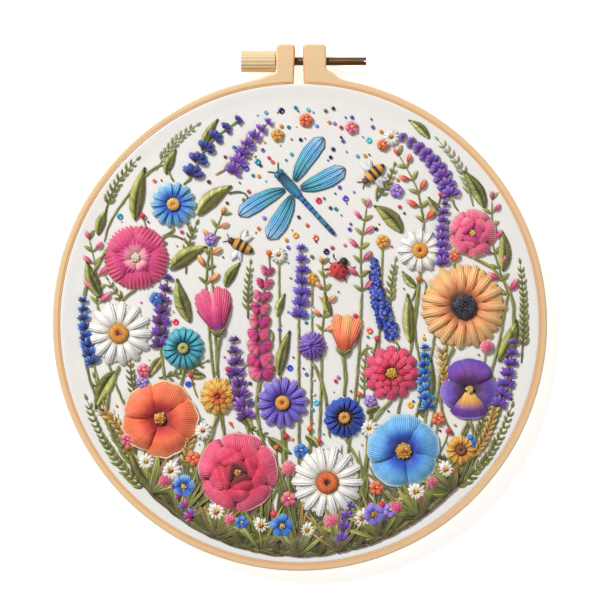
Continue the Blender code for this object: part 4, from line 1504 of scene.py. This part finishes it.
def wheat(work, green, line):
    """An ear: plump gold drops in pairs, with fine awns."""
    stalk(green, line, 0.4, "straw")
    count = round(span(line) * 0.72 / 2.2)
    for each in range(count):
        point, heading = headed(line, 0.28 + 0.72 * each / max(count - 1, 1))
        for hand in (1, -1):
            way = heading + hand * math.radians(30 + RNG.normal(0, 4))
            grain = (*point, *beyond(point, way, 3.4), 0.2 * hand)
            blade(work, grain, 1.5, 0.9, "honey straw butter", lift=0.2, grid=0.58)
            feeler(work, [beyond(point, way, far) for far in (3.0, 4.6, 6.0)], "straw", 0.13, 0.35)


def small_flower(work, x, y, radius, kind):
    place = (x, y)
    if kind == "daisy":
        turn, start, reach = RNG.uniform(0, 30), radius * 0.2, radius * 1.04
        shape = {"neck": 0.75, "base": 0.9, "rings": 7, "grid": 0.8, "edge": 0.8}
        whorl(work, place, 11, turn, start, reach, 0.72, 0.9, "cream white white", **shape)
        knots(work, disc_places(place, radius * 0.27, 0.66, 1.6, 2.1), 0.70, "gold honey gold")
    elif kind == "pompom":
        shades = POMPOM_SHADES[int(abs(x)) % 3]
        burst(work, place, 24, 0.3, radius, 0.6, 1.4, 0.36, shades)
        burst(work, place, 17, 0.2, radius * 0.72, 1.0, 2.3, 0.34, shades)
        burst(work, place, 9, 0.1, radius * 0.36, 1.6, 2.9, 0.32, shades)
    else:
        turn, shades = RNG.uniform(0, 70), POSY_SHADES[kind]
        shape = {"tip": 0.7, "base": 0.8, "rings": 7, "grid": 0.6}
        whorl(work, place, 5, turn, radius * 0.1, radius, 0.98, 1.1, shades, **shape)
        knots(work, disc_places(place, radius * 0.20, 0.6, 1.6, 1.9), 0.58, "butter gold")


class EMBROIDERY_OT_sprays(Undoable, bpy.types.Operator):
    """Works the slim spikes, bud sprays, wheat, small flowers and berries with their stalks"""

    bl_idname = "embroidery.sprays"
    bl_label = "Sprays and small flowers"

    def execute(self, context):
        green, work = Work(), Work()
        for *line, size, shades in SLIM_SPIKES:
            stalk(green, line, 0.42)
            slim_spike(work, line, size, shades)
            if line[1] < 30:
                footing(green, *line[:2], 0.5)
        work.make("slim_spike_stitches", "violet")
        work = Work()
        for *line, size, shades in BUD_SPRAYS:
            stalk(green, line, 0.45)
            bud_spray(work, green, line, size, shades)
            footing(green, *line[:2], 0.5)
        work.make("bud_stitches", "pink")
        work = Work()
        for line in EARS:
            wheat(work, green, line)
        work.make("wheat_stitches", "gold")
        work = Work()
        for x, y, radius, kind in SMALL_FLOWERS:
            small_flower(work, x, y, radius, kind)
            if y < 40:
                footing(green, x, y, 0.42, 0.7)
        for x, y, radius, shade in BERRIES:
            work.copies(ball(), [(x, y, 1.0)], radius, dye(shade), squash=0.85)
            feeler(green, [(x, y), (x * 0.98, y - 4), (x * 0.94, y - 9)], "olive", 0.3)
        work.make("small_flower_stitches", "white")
        green.make("stalk_stitches", "green")
        return {"FINISHED"}


# Shades of the grass, from its root to its tip
DARK = ("earth umber moss", "earth forest moss", "earth earth umber", "earth forest olive")
MIDDLE = ("earth moss olive", "earth forest olive", "umber bark straw", "forest moss leaf")
LIGHT = ("earth moss leaf", "earth olive lime", "earth bark straw", "forest olive leaf", "forest leaf lime")
LOW = ("umber bark straw", "umber moss olive", "earth moss olive")
BROAD = ("earth moss leaf", "forest moss olive", "forest moss leaf")


class EMBROIDERY_OT_grass(Undoable, bpy.types.Operator):
    """Works the fan of grass and slim leaves along the foot of the garland"""

    bl_idname = "embroidery.grass"
    bl_label = "Grass"

    def execute(self, context):
        work = Work()
        for rows, blades, gap, *sizes in (
            (23, 5, 4.3, 27.0, 2.8, 0.4, 0.0, DARK),
            (13, 3, 6.6, 46.0, 1.9, 0.4, 0.1, MIDDLE),
            (15, 6, 6.2, 22.0, 1.9, 0.6, 0.2, MIDDLE),
        ):
            for tuft in range(rows):
                degrees = (tuft - (rows - 1) / 2) * gap + RNG.normal(0, 0.7)
                self.tuft(work, degrees, blades, *sizes)
        for each in range(17):
            degrees = (each - 8) * 5.7
            for side in (-1, 1):
                tip = self.foot(degrees + side * RNG.uniform(5.5, 8.0), RNG.uniform(0.6, 3.4))
                line = (*self.foot(degrees, -0.2), *tip, side * 0.5)
                blade(work, line, 2.0, 0.7, LOW[each % 3], lift=0.5, grid=0.7, form=BLADE, rings=8)
        for each in range(10):
            degrees = (each - 4.5) * 9.3
            for side in (-1, 1):
                root = self.foot(degrees, 0.0)
                way = math.radians(degrees + 90 - side * RNG.uniform(46, 60))
                line = (*root, *beyond(root, way, RNG.uniform(12.5, 16.5)), side * 1.3)
                shades = BROAD[(each + side) % 3]
                blade(work, line, 4.6, 1.0, shades, lift=0.5, grid=0.66, rings=9)
        for tuft in range(9):
            degrees = (tuft - 4) * 10.4 + RNG.normal(0, 0.7)
            self.tuft(work, degrees, 9, 24.0, 1.9, 0.9, 0.7, LIGHT)
        work.make("grass_stitches", "green")
        return {"FINISHED"}

    def foot(self, degrees, up):
        """A place at the foot of the garland, near the ring below and further from it beside."""
        reach = 94.0 - 3.4 * (degrees / 48) ** 2 - up
        return beyond((0, 0), math.radians(degrees - 90), reach)

    def tuft(self, work, degrees, blades, tall, width, rise, lift, shades):
        """A tuft of blades that fan out from their root."""
        root = self.foot(degrees, 0.0)
        fan = (104 if tall < 30 else 50) / blades
        tall = tall * (0.62 + 0.38 * math.cos(math.radians(degrees * 1.25)) ** 2)
        for each in range(blades):
            lean = (each - (blades - 1) / 2) * fan + RNG.normal(0, 4)
            reach = tall * RNG.uniform(0.72, 1.08) * (1 - 0.30 * abs(lean) / 60)
            tip = beyond(root, math.radians(degrees + 90 + lean), reach)
            pick = shades[RNG.integers(len(shades))]
            broad = width * RNG.uniform(0.7, 1.2)
            line = (*root, *tip, lean * RNG.uniform(-0.06, 0.03))
            blade(work, line, broad, rise, pick, lift=lift, grid=0.8, form=BLADE, rings=8)


# Insects

# Their forms: shares along the body, and how wide it is there
DRAGONFLY_FORM = (
    (0, 0.04, 0.1, 0.2, 0.3, 0.36, 0.6, 0.95, 1),
    (0.5, 0.9, 1.0, 1.0, 0.85, 0.5, 0.42, 0.40, 0.2),
)
BEE_FORM = ((0, 0.08, 0.3, 0.6, 0.85, 1), (0.5, 0.85, 1.0, 0.95, 0.6, 0.15))
LADYBIRD_FORM = ((0, 0.1, 0.35, 0.7, 0.92, 1), (0.45, 0.78, 1.0, 1.0, 0.62, 0.3))
# Its spots: shares of the radius along and across it, and of its height
LADYBIRD_SPOTS = (
    (0.5, 0.4, 0.80),
    (0.5, -0.4, 0.80),
    (-0.05, 0.45, 0.86),
    (-0.05, -0.45, 0.86),
    (-0.5, 0.3, 0.80),
    (-0.5, -0.3, 0.80),
)


def frame_of(angle):
    """The directions along a body and to its left."""
    run = np.array([math.cos(angle), math.sin(angle)])
    return run, np.array([-run[1], run[0]])


def dragonfly_bands(share):
    ring = (np.where(np.mod(share * 14, 1) < 0.22, 1.0, 0.0) * (share > 0.33))[:, None]
    return stops("navy teal blue teal indigo", share) * (1 - ring) + dye("black") * ring


def bee_bands(share):
    dark = np.mod(share * 3.4 + 0.1, 1) < 0.42
    return np.where(dark[:, None], dye("black"), dye("gold"))


def wing(work, line, width):
    """An open wing: fine pale stitches along it, with darker veins and an edge."""
    count, rings = 8, 11
    side, share = sides(count), along(rings)
    wide = np.interp(share, (0, 0.2, 0.6, 0.88, 1), (0.22, 0.7, 1.0, 0.82, 0.10))
    points, left = bowed(line, np.broadcast_to(share, (count, rings)))
    out = side[:, None] * wide * width / 2
    dome = np.sqrt(1 - side**2 * 0.9)
    up = 0.2 + 0.6 * dome[:, None] * (0.5 + 0.5 * wide)
    radii = np.maximum(width / count * 0.52 * wide, 0.12)
    colours = stops("teal aqua sky ice", share) * jitter(count, 0.09)
    work.threads(lifted(points + left * out[..., None], up), radii, colours)
    points, left = bowed(line, share)
    for edge in (-1.02, -0.36, 0.3, 1.02):
        up = 0.42 + 0.55 * math.sqrt(1 - min(1, abs(edge)) ** 2) * (0.5 + 0.5 * wide)
        path = lifted(points + left * (edge * wide * width / 2)[:, None], up)
        work.threads(path, 0.20, dye("navy"), flat=1.0)


def dragonfly():
    work = Work()
    wings = ("wing_fore_right", "wing_hind_right", "wing_fore_left", "wing_hind_left")
    for node in wings:
        wing(work, LINES[node], 7.2 if "hind" in node else 6.6)
    line = LINES["dragonfly_body"]
    bars(work, line, 4.2, 1.9, dragonfly_bands, DRAGONFLY_FORM, 0.62)
    run, left = frame_of(math.atan2(line[3] - line[1], line[2] - line[0]))
    head = np.array(line[:2]) - run * 0.6
    knots(work, [(*(head + left * side), 1.7) for side in (1.2, -1.2)], 1.25, "teal teal")
    knots(work, [(*(head - run * 0.5), 1.2)], 1.0, "navy")
    for hand in (1, -1):
        out = left * hand
        feeler(work, [head, head - run * 2.4 + out * 1.6, head - run * 3.8 + out * 3.0], "black")
    work.make("dragonfly_stitches", "dragonfly", "dragonfly_body", *wings)


def bee(node):
    work = Work()
    line = LINES[node]
    body = np.array(line[:2])
    run, left = frame_of(math.atan2(line[3] - line[1], line[2] - line[0]))
    for hand in (1, -1):
        out = left * hand
        root = body + run * span(line) * 0.42 + out * 1.4
        for reach, back in ((6.6, 0.15), (4.8, -0.55)):
            tip = root + out * reach * 0.86 - run * reach * back
            wing_line = (*root, *tip, 0.5 * hand)
            blade(work, wing_line, reach * 0.46, 0.5, "ice white white", lift=0.4, grid=0.6, rings=9)
    bars(work, line, 5.0, 2.2, bee_bands, BEE_FORM, 0.6)
    head = body - run * 0.9
    knots(work, [(*head, 1.3)], 1.35, "brown")
    knots(work, [(*(head + left * 0.9), 1.9), (*(head - left * 0.9), 1.9)], 0.5, "black")
    for hand in (1, -1):
        out = left * hand
        feeler(work, [head, head - run * 1.6 + out, head - run * 2.8 + out * 2.0], "black", 0.18)
    work.make(f"{node}_stitches", "honey", node)


def ladybird():
    work = Work()
    middle, radius, height = centre_of("ladybird")
    middle = np.array(middle)
    run, left = frame_of(math.radians(60))
    for hand in (1, -1):
        out = left * hand
        for shift in (-0.5, 0.05, 0.6):
            root = middle + run * radius * shift + out * radius * 0.7
            route = [root, root + out * 1.6 + run * shift, root + out * 2.4 + run * shift * 3]
            feeler(work, route, "black", 0.24)
    line = (*(middle - run * radius * 0.95), *(middle + run * radius * 0.6), 0.0)
    shades = "crimson scarlet scarlet"
    bars(work, line, radius * 1.9, height * 0.92, shades, LADYBIRD_FORM, 0.62)
    knots(work, [(*(middle + run * radius * 0.86), height * 0.4)], radius * 0.42, "black")
    route = [middle - run * radius * 0.9, middle, middle + run * radius * 0.6]
    feeler(work, route, "black", 0.3, height * 0.98)
    places = []
    for ahead, beside, up in LADYBIRD_SPOTS:
        spot = middle + run * radius * ahead * 0.95 + left * radius * beside
        places.append((*spot, height * up))
    knots(work, places, 0.62, "black", squash=0.5)
    work.make("ladybird_stitches", "red", "ladybird", padded=True)


class EMBROIDERY_OT_insects(Undoable, bpy.types.Operator):
    """Works the dragonfly, the bees and the ladybird"""

    bl_idname = "embroidery.insects"
    bl_label = "Insects"

    def execute(self, context):
        dragonfly()
        bee("bee_body_right")
        bee("bee_body_left")
        ladybird()
        return {"FINISHED"}


# Knots and beads on the open cloth

# How far the swept nodes of each kind reach from their lines
REACHES = {"spike": 6.5, "tulip": 8.0, "dragonfly": 3.5, "wing": 4.5, "bee": 6.0}
KNOT_SHADES = "gold rose teal slate honey wine lilac bark sky cream navy peach"
BEAD_SHADES = "teal royal crimson gold violet aqua coral navy"


def taken():
    """Circles of cloth that flowers, leaves and insects cover, as (x, y, radius)."""
    found = []

    def cover(line, shares, reach):
        found.extend((*point, reach) for point in bowed(line, shares)[0])

    for room, nodes in ((1.2, FLOWERS), (1.0, ("thistle_purple",)), (3.0, ("ladybird",))):
        for node in nodes:
            place, radius, _ = centre_of(node)
            found.append((*place, radius + room))
    for node, line in LINES.items():
        cover(line, np.linspace(0, 1, 9), REACHES[node.split("_")[0]])
    for *line, width in LEAVES + SMALL_LEAVES:
        cover(line, np.linspace(0.1, 0.9, 5), width / 2 + 0.8)
    for *line, size, _, _ in SPRIGS:
        cover(line, np.linspace(0, 1, 7), size * 0.7)
    for radius, _, *route in STEMS:
        points = curve_points(np.reshape(route, (-1, 2)), 2.0)
        found.extend((*point, radius + 0.7) for point in points)
    for *line, size, _ in SLIM_SPIKES + BUD_SPRAYS:
        cover(line, np.linspace(0, 1, 9), size * 0.8)
        found.extend((*point, 1.0) for point in curve_points(footing(None, *line[:2], 0), 2.0))
    for line in EARS:
        cover(line, np.linspace(0.2, 1, 7), 3.0)
    found.extend((x, y, radius + 0.4) for x, y, radius, _ in SMALL_FLOWERS + BERRIES)
    return np.array(found)


def open_places(count, covered, apart, room, low=-60.0):
    """Scattered places on the open cloth, none near another."""
    found = []
    for _ in range(count * 60):
        if len(found) >= count:
            break
        turn, out = RNG.uniform(0, math.tau), 88.0 * math.sqrt(RNG.uniform(0, 1))
        spot = np.array(beyond((0, 0), turn, out))
        if spot[1] < low:
            continue
        if (np.hypot(*(covered[:, :2] - spot).T) < covered[:, 2] + room).any():
            continue
        if found and (np.hypot(*(np.array(found) - spot).T) < apart).any():
            continue
        found.append(spot)
    return np.array(found).reshape(-1, 2)


class EMBROIDERY_OT_scatter(Undoable, bpy.types.Operator):
    """Scatters French knots, seed beads and sequins on the open cloth"""

    bl_idname = "embroidery.scatter"
    bl_label = "Knots and beads"

    def execute(self, context):
        look = context.scene.embroidery_fill
        covered = taken()
        spots = open_places(look.knots, covered, 4.6, 0.8)
        work = Work()
        for first, size in enumerate((0.50, 0.78, 0.38)):
            knots(work, lifted(spots, 0.35)[first::3], size, KNOT_SHADES)
        work.make("knot_stitches", "gold")
        spots = open_places(look.beads, np.concatenate([covered, lifted(spots, 0.6)]), 5.0, 1.0)
        work = Work()
        tints = np.array([dye(name) for name in BEAD_SHADES.split()])
        cut = len(spots) * 2 // 3
        rest = len(spots) - cut
        beads, sequins = lifted(spots[:cut], 0.42), lifted(spots[cut:], 0.10)
        work.copies(bead(), beads, 0.82, tints[np.arange(cut) % 8], RNG.uniform(0, 6, cut))
        shades = tints[(np.arange(rest) * 3) % 8] * 1.2
        work.copies(sequin(), sequins, 1.25, shades, RNG.uniform(0, 6, rest))
        work.make("beadwork", "sky", material=bead_material())
        return {"FINISHED"}


# Hoop, screw and cloth

RIDGES = 18
EAR_TOP = 112.9
EAR_CORNER = 1.6
LEFT_EAR = {"foot": -2.5, "top": -1.8, "side": -9.7, "flare": 101.4, "toe": -17.2}
RIGHT_EAR = {"foot": 1.7, "top": 1.1, "side": 10.7, "flare": 102.4, "toe": 17.9}
OUTER, INNER = 100.0, 96.8
# The ring's inner lip, from its wall outwards: where the bevel has its rows, and how far
# across and down each row goes, which leaves a fine groove outside a rounded bead
LIP_AT = (0.0, 0.076, 0.293, 0.617, 1.0)
LIP_ACROSS = (0.0, 0.12, 0.42, 0.64, 0.85)
LIP_DOWN = (0.24, 0.06, 0.08, 0.30, 0.0)
# The knob's rounded end: how far along it each row is, and how far in from its radius
KNOB_END = ((0.0, 0.7), (0.0, 0.35), (0.12, 0.12), (0.4, 0.0), (0.8, 0.0))


def arc(middle, radius, start, end, steps):
    turns = (math.radians(start + (end - start) * step / steps) for step in range(steps + 1))
    return [beyond(middle, turn, radius) for turn in turns]


def ear(sizes, side):
    """An ear's outline from its gap side to its toe on the ring."""
    edge, flare, toe = sizes["side"], sizes["flare"], sizes["toe"]
    high = EAR_TOP - EAR_CORNER
    gap_turns, side_turns = ((180, 90), (90, 0)) if side > 0 else ((0, 90), (90, 180))
    on_ring = math.sqrt(OUTER**2 - toe**2)
    return [
        (sizes["foot"], math.sqrt(INNER**2 - sizes["foot"] ** 2)),
        *arc((sizes["top"] + side * EAR_CORNER, high), EAR_CORNER, *gap_turns, 6),
        *arc((edge - side * EAR_CORNER, high), EAR_CORNER, *side_turns, 6),
        (edge, flare + 1.4),
        (edge + side * 0.25, flare + 0.4),
        (edge + side * 0.9, flare - 0.35),
        (edge + side * 2.2, flare - 0.8),
        (toe - side * 2.0, on_ring + 0.75),
        (toe, on_ring),
    ]


def solid(bm, name, material):
    """A mesh of what has been modelled, smooth and with its faces outwards."""
    bmesh.ops.recalc_face_normals(bm, faces=bm.faces[:])
    mesh = bpy.data.meshes.new(name)
    bm.to_mesh(mesh)
    bm.free()
    mesh.polygons.foreach_set("use_smooth", [True] * len(mesh.polygons))
    mesh.materials.append(material)
    return mesh


def linked(name, data):
    made = bpy.data.objects.new(name, data)
    bpy.context.scene.collection.objects.link(made)
    return made


def cut_out(made, bm):
    """Cuts a shape out of a piece."""
    cutter = linked("cutter", solid(bm, "cutter", made.data.materials[0]))
    cut = made.modifiers.new("cut", "BOOLEAN")
    cut.operation = "DIFFERENCE"
    cut.object = cutter
    graph = bpy.context.evaluated_depsgraph_get()
    mesh = bpy.data.meshes.new_from_object(made.evaluated_get(graph))
    made.modifiers.clear()
    made.data = mesh
    bpy.data.objects.remove(cutter)


def bevel(bm, edges, offset, segments):
    bmesh.ops.bevel(
        bm,
        geom=edges,
        offset=offset,
        segments=segments,
        profile=0.5,
        affect="EDGES",
        material=-1,
    )


def screw_axis():
    """A point on the screw's axis, and half the rod's thickness."""
    low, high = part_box("screw_rod")
    return Vector((0, (low.y + high.y) / 2, (low.z + high.z) / 2)), (high.z - low.z) / 2


def lathed(axis, radius, corners, rows, reach_of):
    """Rings of corners along the screw's axis, each at the reach that suits its row and turn."""
    bm = bmesh.new()
    ring = bmesh.ops.create_circle(bm, cap_ends=True, segments=corners, radius=radius)["verts"]
    bmesh.ops.rotate(bm, verts=ring, matrix=turn_matrix("Y", 90))
    bmesh.ops.translate(bm, verts=ring, vec=(rows[0][0], axis.y, axis.z))
    edges = bm.edges[:]
    for each, row in enumerate(rows):
        if each:
            ring, edges = extrude(bm, edges)
        for vert in ring:
            turn = math.atan2(vert.co.z - axis.z, vert.co.y - axis.y)
            vert.co = (row[0], *beyond((axis.y, axis.z), turn, reach_of(row, turn)))
    bmesh.ops.contextual_create(bm, geom=ring)
    return bm


class EMBROIDERY_OT_hoop(Undoable, bpy.types.Operator):
    """Makes the split outer ring with its ears, and the inner ring"""

    bl_idname = "embroidery.hoop"
    bl_label = "Rings"

    def execute(self, context):
        look = context.scene.embroidery_hoop
        wood = wood_material("varnished_beech", linear(look.beech), 0.55, 1.0)
        self.outer(look.edge, wood)
        self.inner(wood)
        return {"FINISHED"}

    def outer(self, edge, wood):
        low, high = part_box("outer_hoop")
        right, left = ear(RIGHT_EAR, 1), ear(LEFT_EAR, -1)

        def angle(point):
            return math.degrees(math.atan2(point[1], point[0]))

        line = [
            *right,
            *arc((0, 0), OUTER, angle(right[-1]), angle(left[-1]) - 360, 200)[1:-1],
            *left[::-1],
            *arc((0, 0), INNER, angle(left[0]) - 360, angle(right[0]), 200)[1:-1],
        ]
        bm = bmesh.new()
        verts = [bm.verts.new((HOOP_X + x * MM, HOOP_Y + y * MM, low.z)) for x, y in line]
        grown = bmesh.ops.extrude_face_region(bm, geom=[bm.faces.new(verts)])["geom"]
        top = [item for item in grown if isinstance(item, bmesh.types.BMVert)]
        bmesh.ops.translate(bm, verts=top, vec=(0, 0, high.z - low.z))
        bevel(bm, [each for each in bm.edges if each.verts[0].co.z == each.verts[1].co.z], edge, 4)
        for vert in bm.verts:
            x, y = (vert.co.x - HOOP_X) / MM, (vert.co.y - HOOP_Y) / MM
            reach = math.hypot(x, y)
            inward = (reach - INNER) / (edge / MM)
            if inward < 0.99 and (y < 0 or abs(x) > 3.2) and vert.co.z > high.z - edge * 1.01:
                moved = (INNER + float(np.interp(inward, LIP_AT, LIP_ACROSS))) / reach
                down = float(np.interp(inward, LIP_AT, LIP_DOWN)) * MM
                vert.co = (HOOP_X + x * moved * MM, HOOP_Y + y * moved * MM, high.z - down)
        for each in bm.edges:
            each.smooth = not any(len(face.verts) > 20 for face in each.link_faces)
        ring = placed(solid(bm, "outer_ring", wood), "outer_ring", ("outer_hoop",))
        bm = bmesh.new()
        bore = 2.1 * MM
        bmesh.ops.create_cone(
            bm, cap_ends=True, segments=32, radius1=bore, radius2=bore, depth=60 * MM
        )
        bmesh.ops.rotate(bm, verts=bm.verts[:], matrix=turn_matrix("Y", 90))
        bmesh.ops.translate(bm, verts=bm.verts[:], vec=screw_axis()[0])
        cut_out(ring, bm)

    def inner(self, wood):
        low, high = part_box("inner_hoop")
        outside = (high.x - low.x) / 2
        inside = outside - 3.2 * MM
        bm = bmesh.new()
        outline(bm, ((inside, low.z), (outside, low.z), (outside, high.z), (inside, high.z)))
        spin(bm, 180)
        rims = []
        for edge in bm.edges:
            first, second = (vert.co for vert in edge.verts)
            level = abs(first.z - second.z) < 1e-6
            if level and abs(first.xy.length - second.xy.length) < 1e-6:
                rims.append(edge)
        bevel(bm, rims, 0.5 * MM, 3)
        bmesh.ops.translate(bm, verts=bm.verts[:], vec=(HOOP_X, HOOP_Y, 0))
        mesh = solid(bm, "inner_ring", wood)
        mesh.set_sharp_from_angle(angle=math.radians(32))
        placed(mesh, "inner_ring", ("inner_hoop",))


class EMBROIDERY_OT_screw(Undoable, bpy.types.Operator):
    """Makes the threaded bronze rod and the ridged wooden knob"""

    bl_idname = "embroidery.screw"
    bl_label = "Tension screw"

    def execute(self, context):
        self.rod()
        self.knob(linear(context.scene.embroidery_hoop.knob))
        return {"FINISHED"}

    def rod(self):
        low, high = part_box("screw_rod")
        axis, radius = screw_axis()
        thread, depth = 0.7 * MM, 0.16 * MM
        steps = round((high.x - low.x) / thread) * 4

        def reach_of(row, turn):
            wave = 0.5 + 0.5 * math.cos(math.tau * (row[0] / thread) - turn)
            return radius - depth * wave if row[0] > low.x else radius

        rows = [(low.x + (high.x - low.x) * step / steps,) for step in range(steps + 1)]
        bm = lathed(axis, radius, 28, rows, reach_of)
        mesh = solid(bm, "rod", bronze_material())
        rod = placed(mesh, "rod", ("screw_rod",), body="screw")
        bm = bmesh.new()
        bmesh.ops.create_cube(bm, size=1.0)
        bmesh.ops.scale(bm, verts=bm.verts[:], vec=(2.2 * MM, 0.6 * MM, 6 * MM))
        bmesh.ops.translate(bm, verts=bm.verts[:], vec=(high.x, axis.y, axis.z))
        cut_out(rod, bm)
        rod.data.set_sharp_from_angle(angle=math.radians(50))

    def knob(self, tint):
        low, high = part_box("screw_knob")
        axis, _ = screw_axis()
        radius = (high.z - low.z) / 2
        wide = (high.x - low.x) / MM + 0.24

        def reach_of(row, turn):
            _, at, inset = row
            depth = 0.17 * MM * min(1.0, at / 0.4, (wide - at) / 0.4)
            return radius - inset * MM - depth * (0.5 + 0.5 * math.cos(RIDGES * turn)) ** 1.3

        ends = [*KNOB_END, *((wide - at, inset) for at, inset in KNOB_END[::-1])]
        rows = [(low.x + at * MM, at, inset) for at, inset in ends]
        bm = lathed(axis, radius, 160, rows, reach_of)
        bmesh.ops.remove_doubles(bm, verts=bm.verts[:], dist=1e-7)
        mesh = solid(bm, "knob", wood_material("bare_beech", tint, 0.42, 0.1, axis))
        mesh.set_sharp_from_angle(angle=math.radians(50))
        placed(mesh, "knob", ("screw_knob",), body="screw")


class EMBROIDERY_OT_cloth(Undoable, bpy.types.Operator):
    """Stretches the cotton over the inner ring and down between the rings"""

    bl_idname = "embroidery.cloth"
    bl_label = "Cloth"

    def execute(self, context):
        pucker = context.scene.embroidery_cloth.pucker
        low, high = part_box("cloth")
        outside = (high.x - low.x) / 2 / MM + 0.24
        under = (high.z - low.z) / MM
        shoulder = (6, 5, 4, 3, 2, 1, 0.3)
        line = [
            (0.0, 0.0),
            *((reach, 0.0) for reach in np.linspace(3, outside - 8, 31)),
            *((outside - away, 0.46 * float(smooth(1 - away / 7.0))) for away in shoulder),
            (outside, 0.3),
            *((outside, -reach) for reach in np.linspace(2, under, 6)),
        ]
        bm = bmesh.new()
        outline(bm, [(reach * MM, high.z + up * MM) for reach, up in line], closed=False)
        spin(bm, 180)
        bmesh.ops.remove_doubles(bm, verts=bm.verts[:], dist=1e-6)
        for vert in bm.verts:
            x, y, reach = vert.co.x / MM, vert.co.y / MM, vert.co.xy.length / MM
            turn = math.atan2(y, x)
            fade = min(1.0, max(0.0, (outside - 1.0 - reach) / 8.0))
            pull = math.sin(46 * turn + 3 * math.sin(5 * turn)) * float(smooth((reach - 62) / 28.0))
            slow = math.sin(x / 9.0 + 1.3) * math.cos(y / 11.0) + 0.6 * math.sin((x + y) / 5.3)
            vert.co.z += pucker * fade * (0.6 * pull + 0.45 * slow - 0.6)
        bmesh.ops.translate(bm, verts=bm.verts[:], vec=(HOOP_X, HOOP_Y, 0))
        mesh = solid(bm, "cotton_ground", cotton_material())
        if mesh.polygons[0].normal.z < 0:
            mesh.flip_normals()
        ground = placed(mesh, "cotton_ground", ("cloth",))
        thick = ground.modifiers.new("thickness", "SOLIDIFY")
        thick.thickness = 0.8 * MM
        thick.offset = -1.0
        flat = math.pi * (outside * MM) ** 2 + math.tau * outside * MM * under * MM
        across = 2 * math.sqrt(flat / math.pi)
        return {"FINISHED"}


class EMBROIDERY_OT_stage(Undoable, bpy.types.Operator):
    """Sets the pale floor, the soft light from the upper left and the camera above"""

    bl_idname = "embroidery.stage"
    bl_label = "Stage"

    def execute(self, context):
        look = context.scene.embroidery_stage
        bm = bmesh.new()
        bmesh.ops.create_grid(bm, x_segments=2, y_segments=2, size=1.6)
        bmesh.ops.translate(bm, verts=bm.verts[:], vec=(0, 0, -0.0004))
        mesh = bpy.data.meshes.new("floor")
        bm.to_mesh(mesh)
        bm.free()
        paper = Nodes("white_floor").finish(
            Base_Color=(0.97, 0.97, 0.97, 1),
            Roughness=0.9,
            Specular_IOR_Level=0.1,
            Emission_Color=(1, 1, 1, 1),
            Emission_Strength=0.62,
        )
        mesh.materials.append(paper)
        linked("floor", mesh)

        world = bpy.data.worlds.new("soft_sky")
        world.use_nodes = True
        ground = world.node_tree.nodes["Background"]
        ground.inputs["Color"].default_value = (1.0, 1.0, 1.0, 1.0)
        ground.inputs["Strength"].default_value = look.sky
        context.scene.world = world
        for name, place, size, power in (
            ("key", (-0.85, 0.95, 1.25), 0.55, look.key),
            ("fill", (0.95, -0.60, 1.30), 1.20, look.key * 0.14),
        ):
            lamp = bpy.data.lights.new(name, "AREA")
            lamp.shape = "DISK"
            lamp.size = size
            lamp.energy = power
            made = linked(name, lamp)
            made.location = Vector((0.0, HOOP_Y, 0.0)) + Vector(place)
            made.rotation_mode = "QUATERNION"
            made.rotation_quaternion = (-Vector(place)).to_track_quat("-Z", "Y")
        camera = bpy.data.cameras.new("camera")
        camera.lens = look.lens
        camera.sensor_width = 36.0
        camera.clip_start, camera.clip_end = 0.01, 20.0
        view = linked("camera", camera)
        away = look.width * look.lens / camera.sensor_width
        view.location = (0.0001, HOOP_Y + 9.45 * MM, RIM_TOP + away)
        view.rotation_euler = (0.0, 0.0, 0.0)
        context.scene.camera = view
        context.scene.view_settings.view_transform = "Standard"
        return {"FINISHED"}


class EMBROIDERY_PT_panel(bpy.types.Panel):
    """Lists the looks and the operators that make them"""

    bl_idname = "EMBROIDERY_PT_panel"
    bl_label = "Hoop embroidery"
    bl_space_type = "VIEW_3D"
    bl_region_type = "UI"
    bl_category = "Embroidery"

    def draw(self, context):
        for group, _, steps in GROUPS:
            box = self.layout.box()
            look = getattr(context.scene, group)
            for name in look.__annotations__:
                box.prop(look, name)
            for step in steps:
                box.operator(f"embroidery.{step}")


# Each group of looks, and the operators that it is for in the order of the work
GROUPS = (
    ("embroidery_stage", StageLook, ("stage",)),
    ("embroidery_hoop", HoopLook, ("hoop", "screw")),
    ("embroidery_cloth", ClothLook, ("cloth",)),
    (
        "embroidery_thread",
        ThreadLook,
        ("flowers", "spikes", "leaves", "stems", "grass", "sprays", "insects"),
    ),
    ("embroidery_fill", FillLook, ("scatter",)),
)
CLASSES = (
    HoopLook,
    ClothLook,
    ThreadLook,
    FillLook,
    StageLook,
    EMBROIDERY_OT_stage,
    EMBROIDERY_OT_hoop,
    EMBROIDERY_OT_screw,
    EMBROIDERY_OT_cloth,
    EMBROIDERY_OT_flowers,
    EMBROIDERY_OT_spikes,
    EMBROIDERY_OT_leaves,
    EMBROIDERY_OT_stems,
    EMBROIDERY_OT_grass,
    EMBROIDERY_OT_sprays,
    EMBROIDERY_OT_insects,
    EMBROIDERY_OT_scatter,
    EMBROIDERY_PT_panel,
)


def register():
    for each in CLASSES:
        bpy.utils.register_class(each)
    for name, group, _ in GROUPS:
        setattr(bpy.types.Scene, name, PointerProperty(type=group))


def unregister():
    for name, _, _ in GROUPS:
        delattr(bpy.types.Scene, name)
    for each in reversed(CLASSES):
        bpy.utils.unregister_class(each)


def main():
    register()
    for _, _, steps in GROUPS:
        for step in steps:
            getattr(bpy.ops.embroidery, step)()


if __name__ == "__main__":
    main()
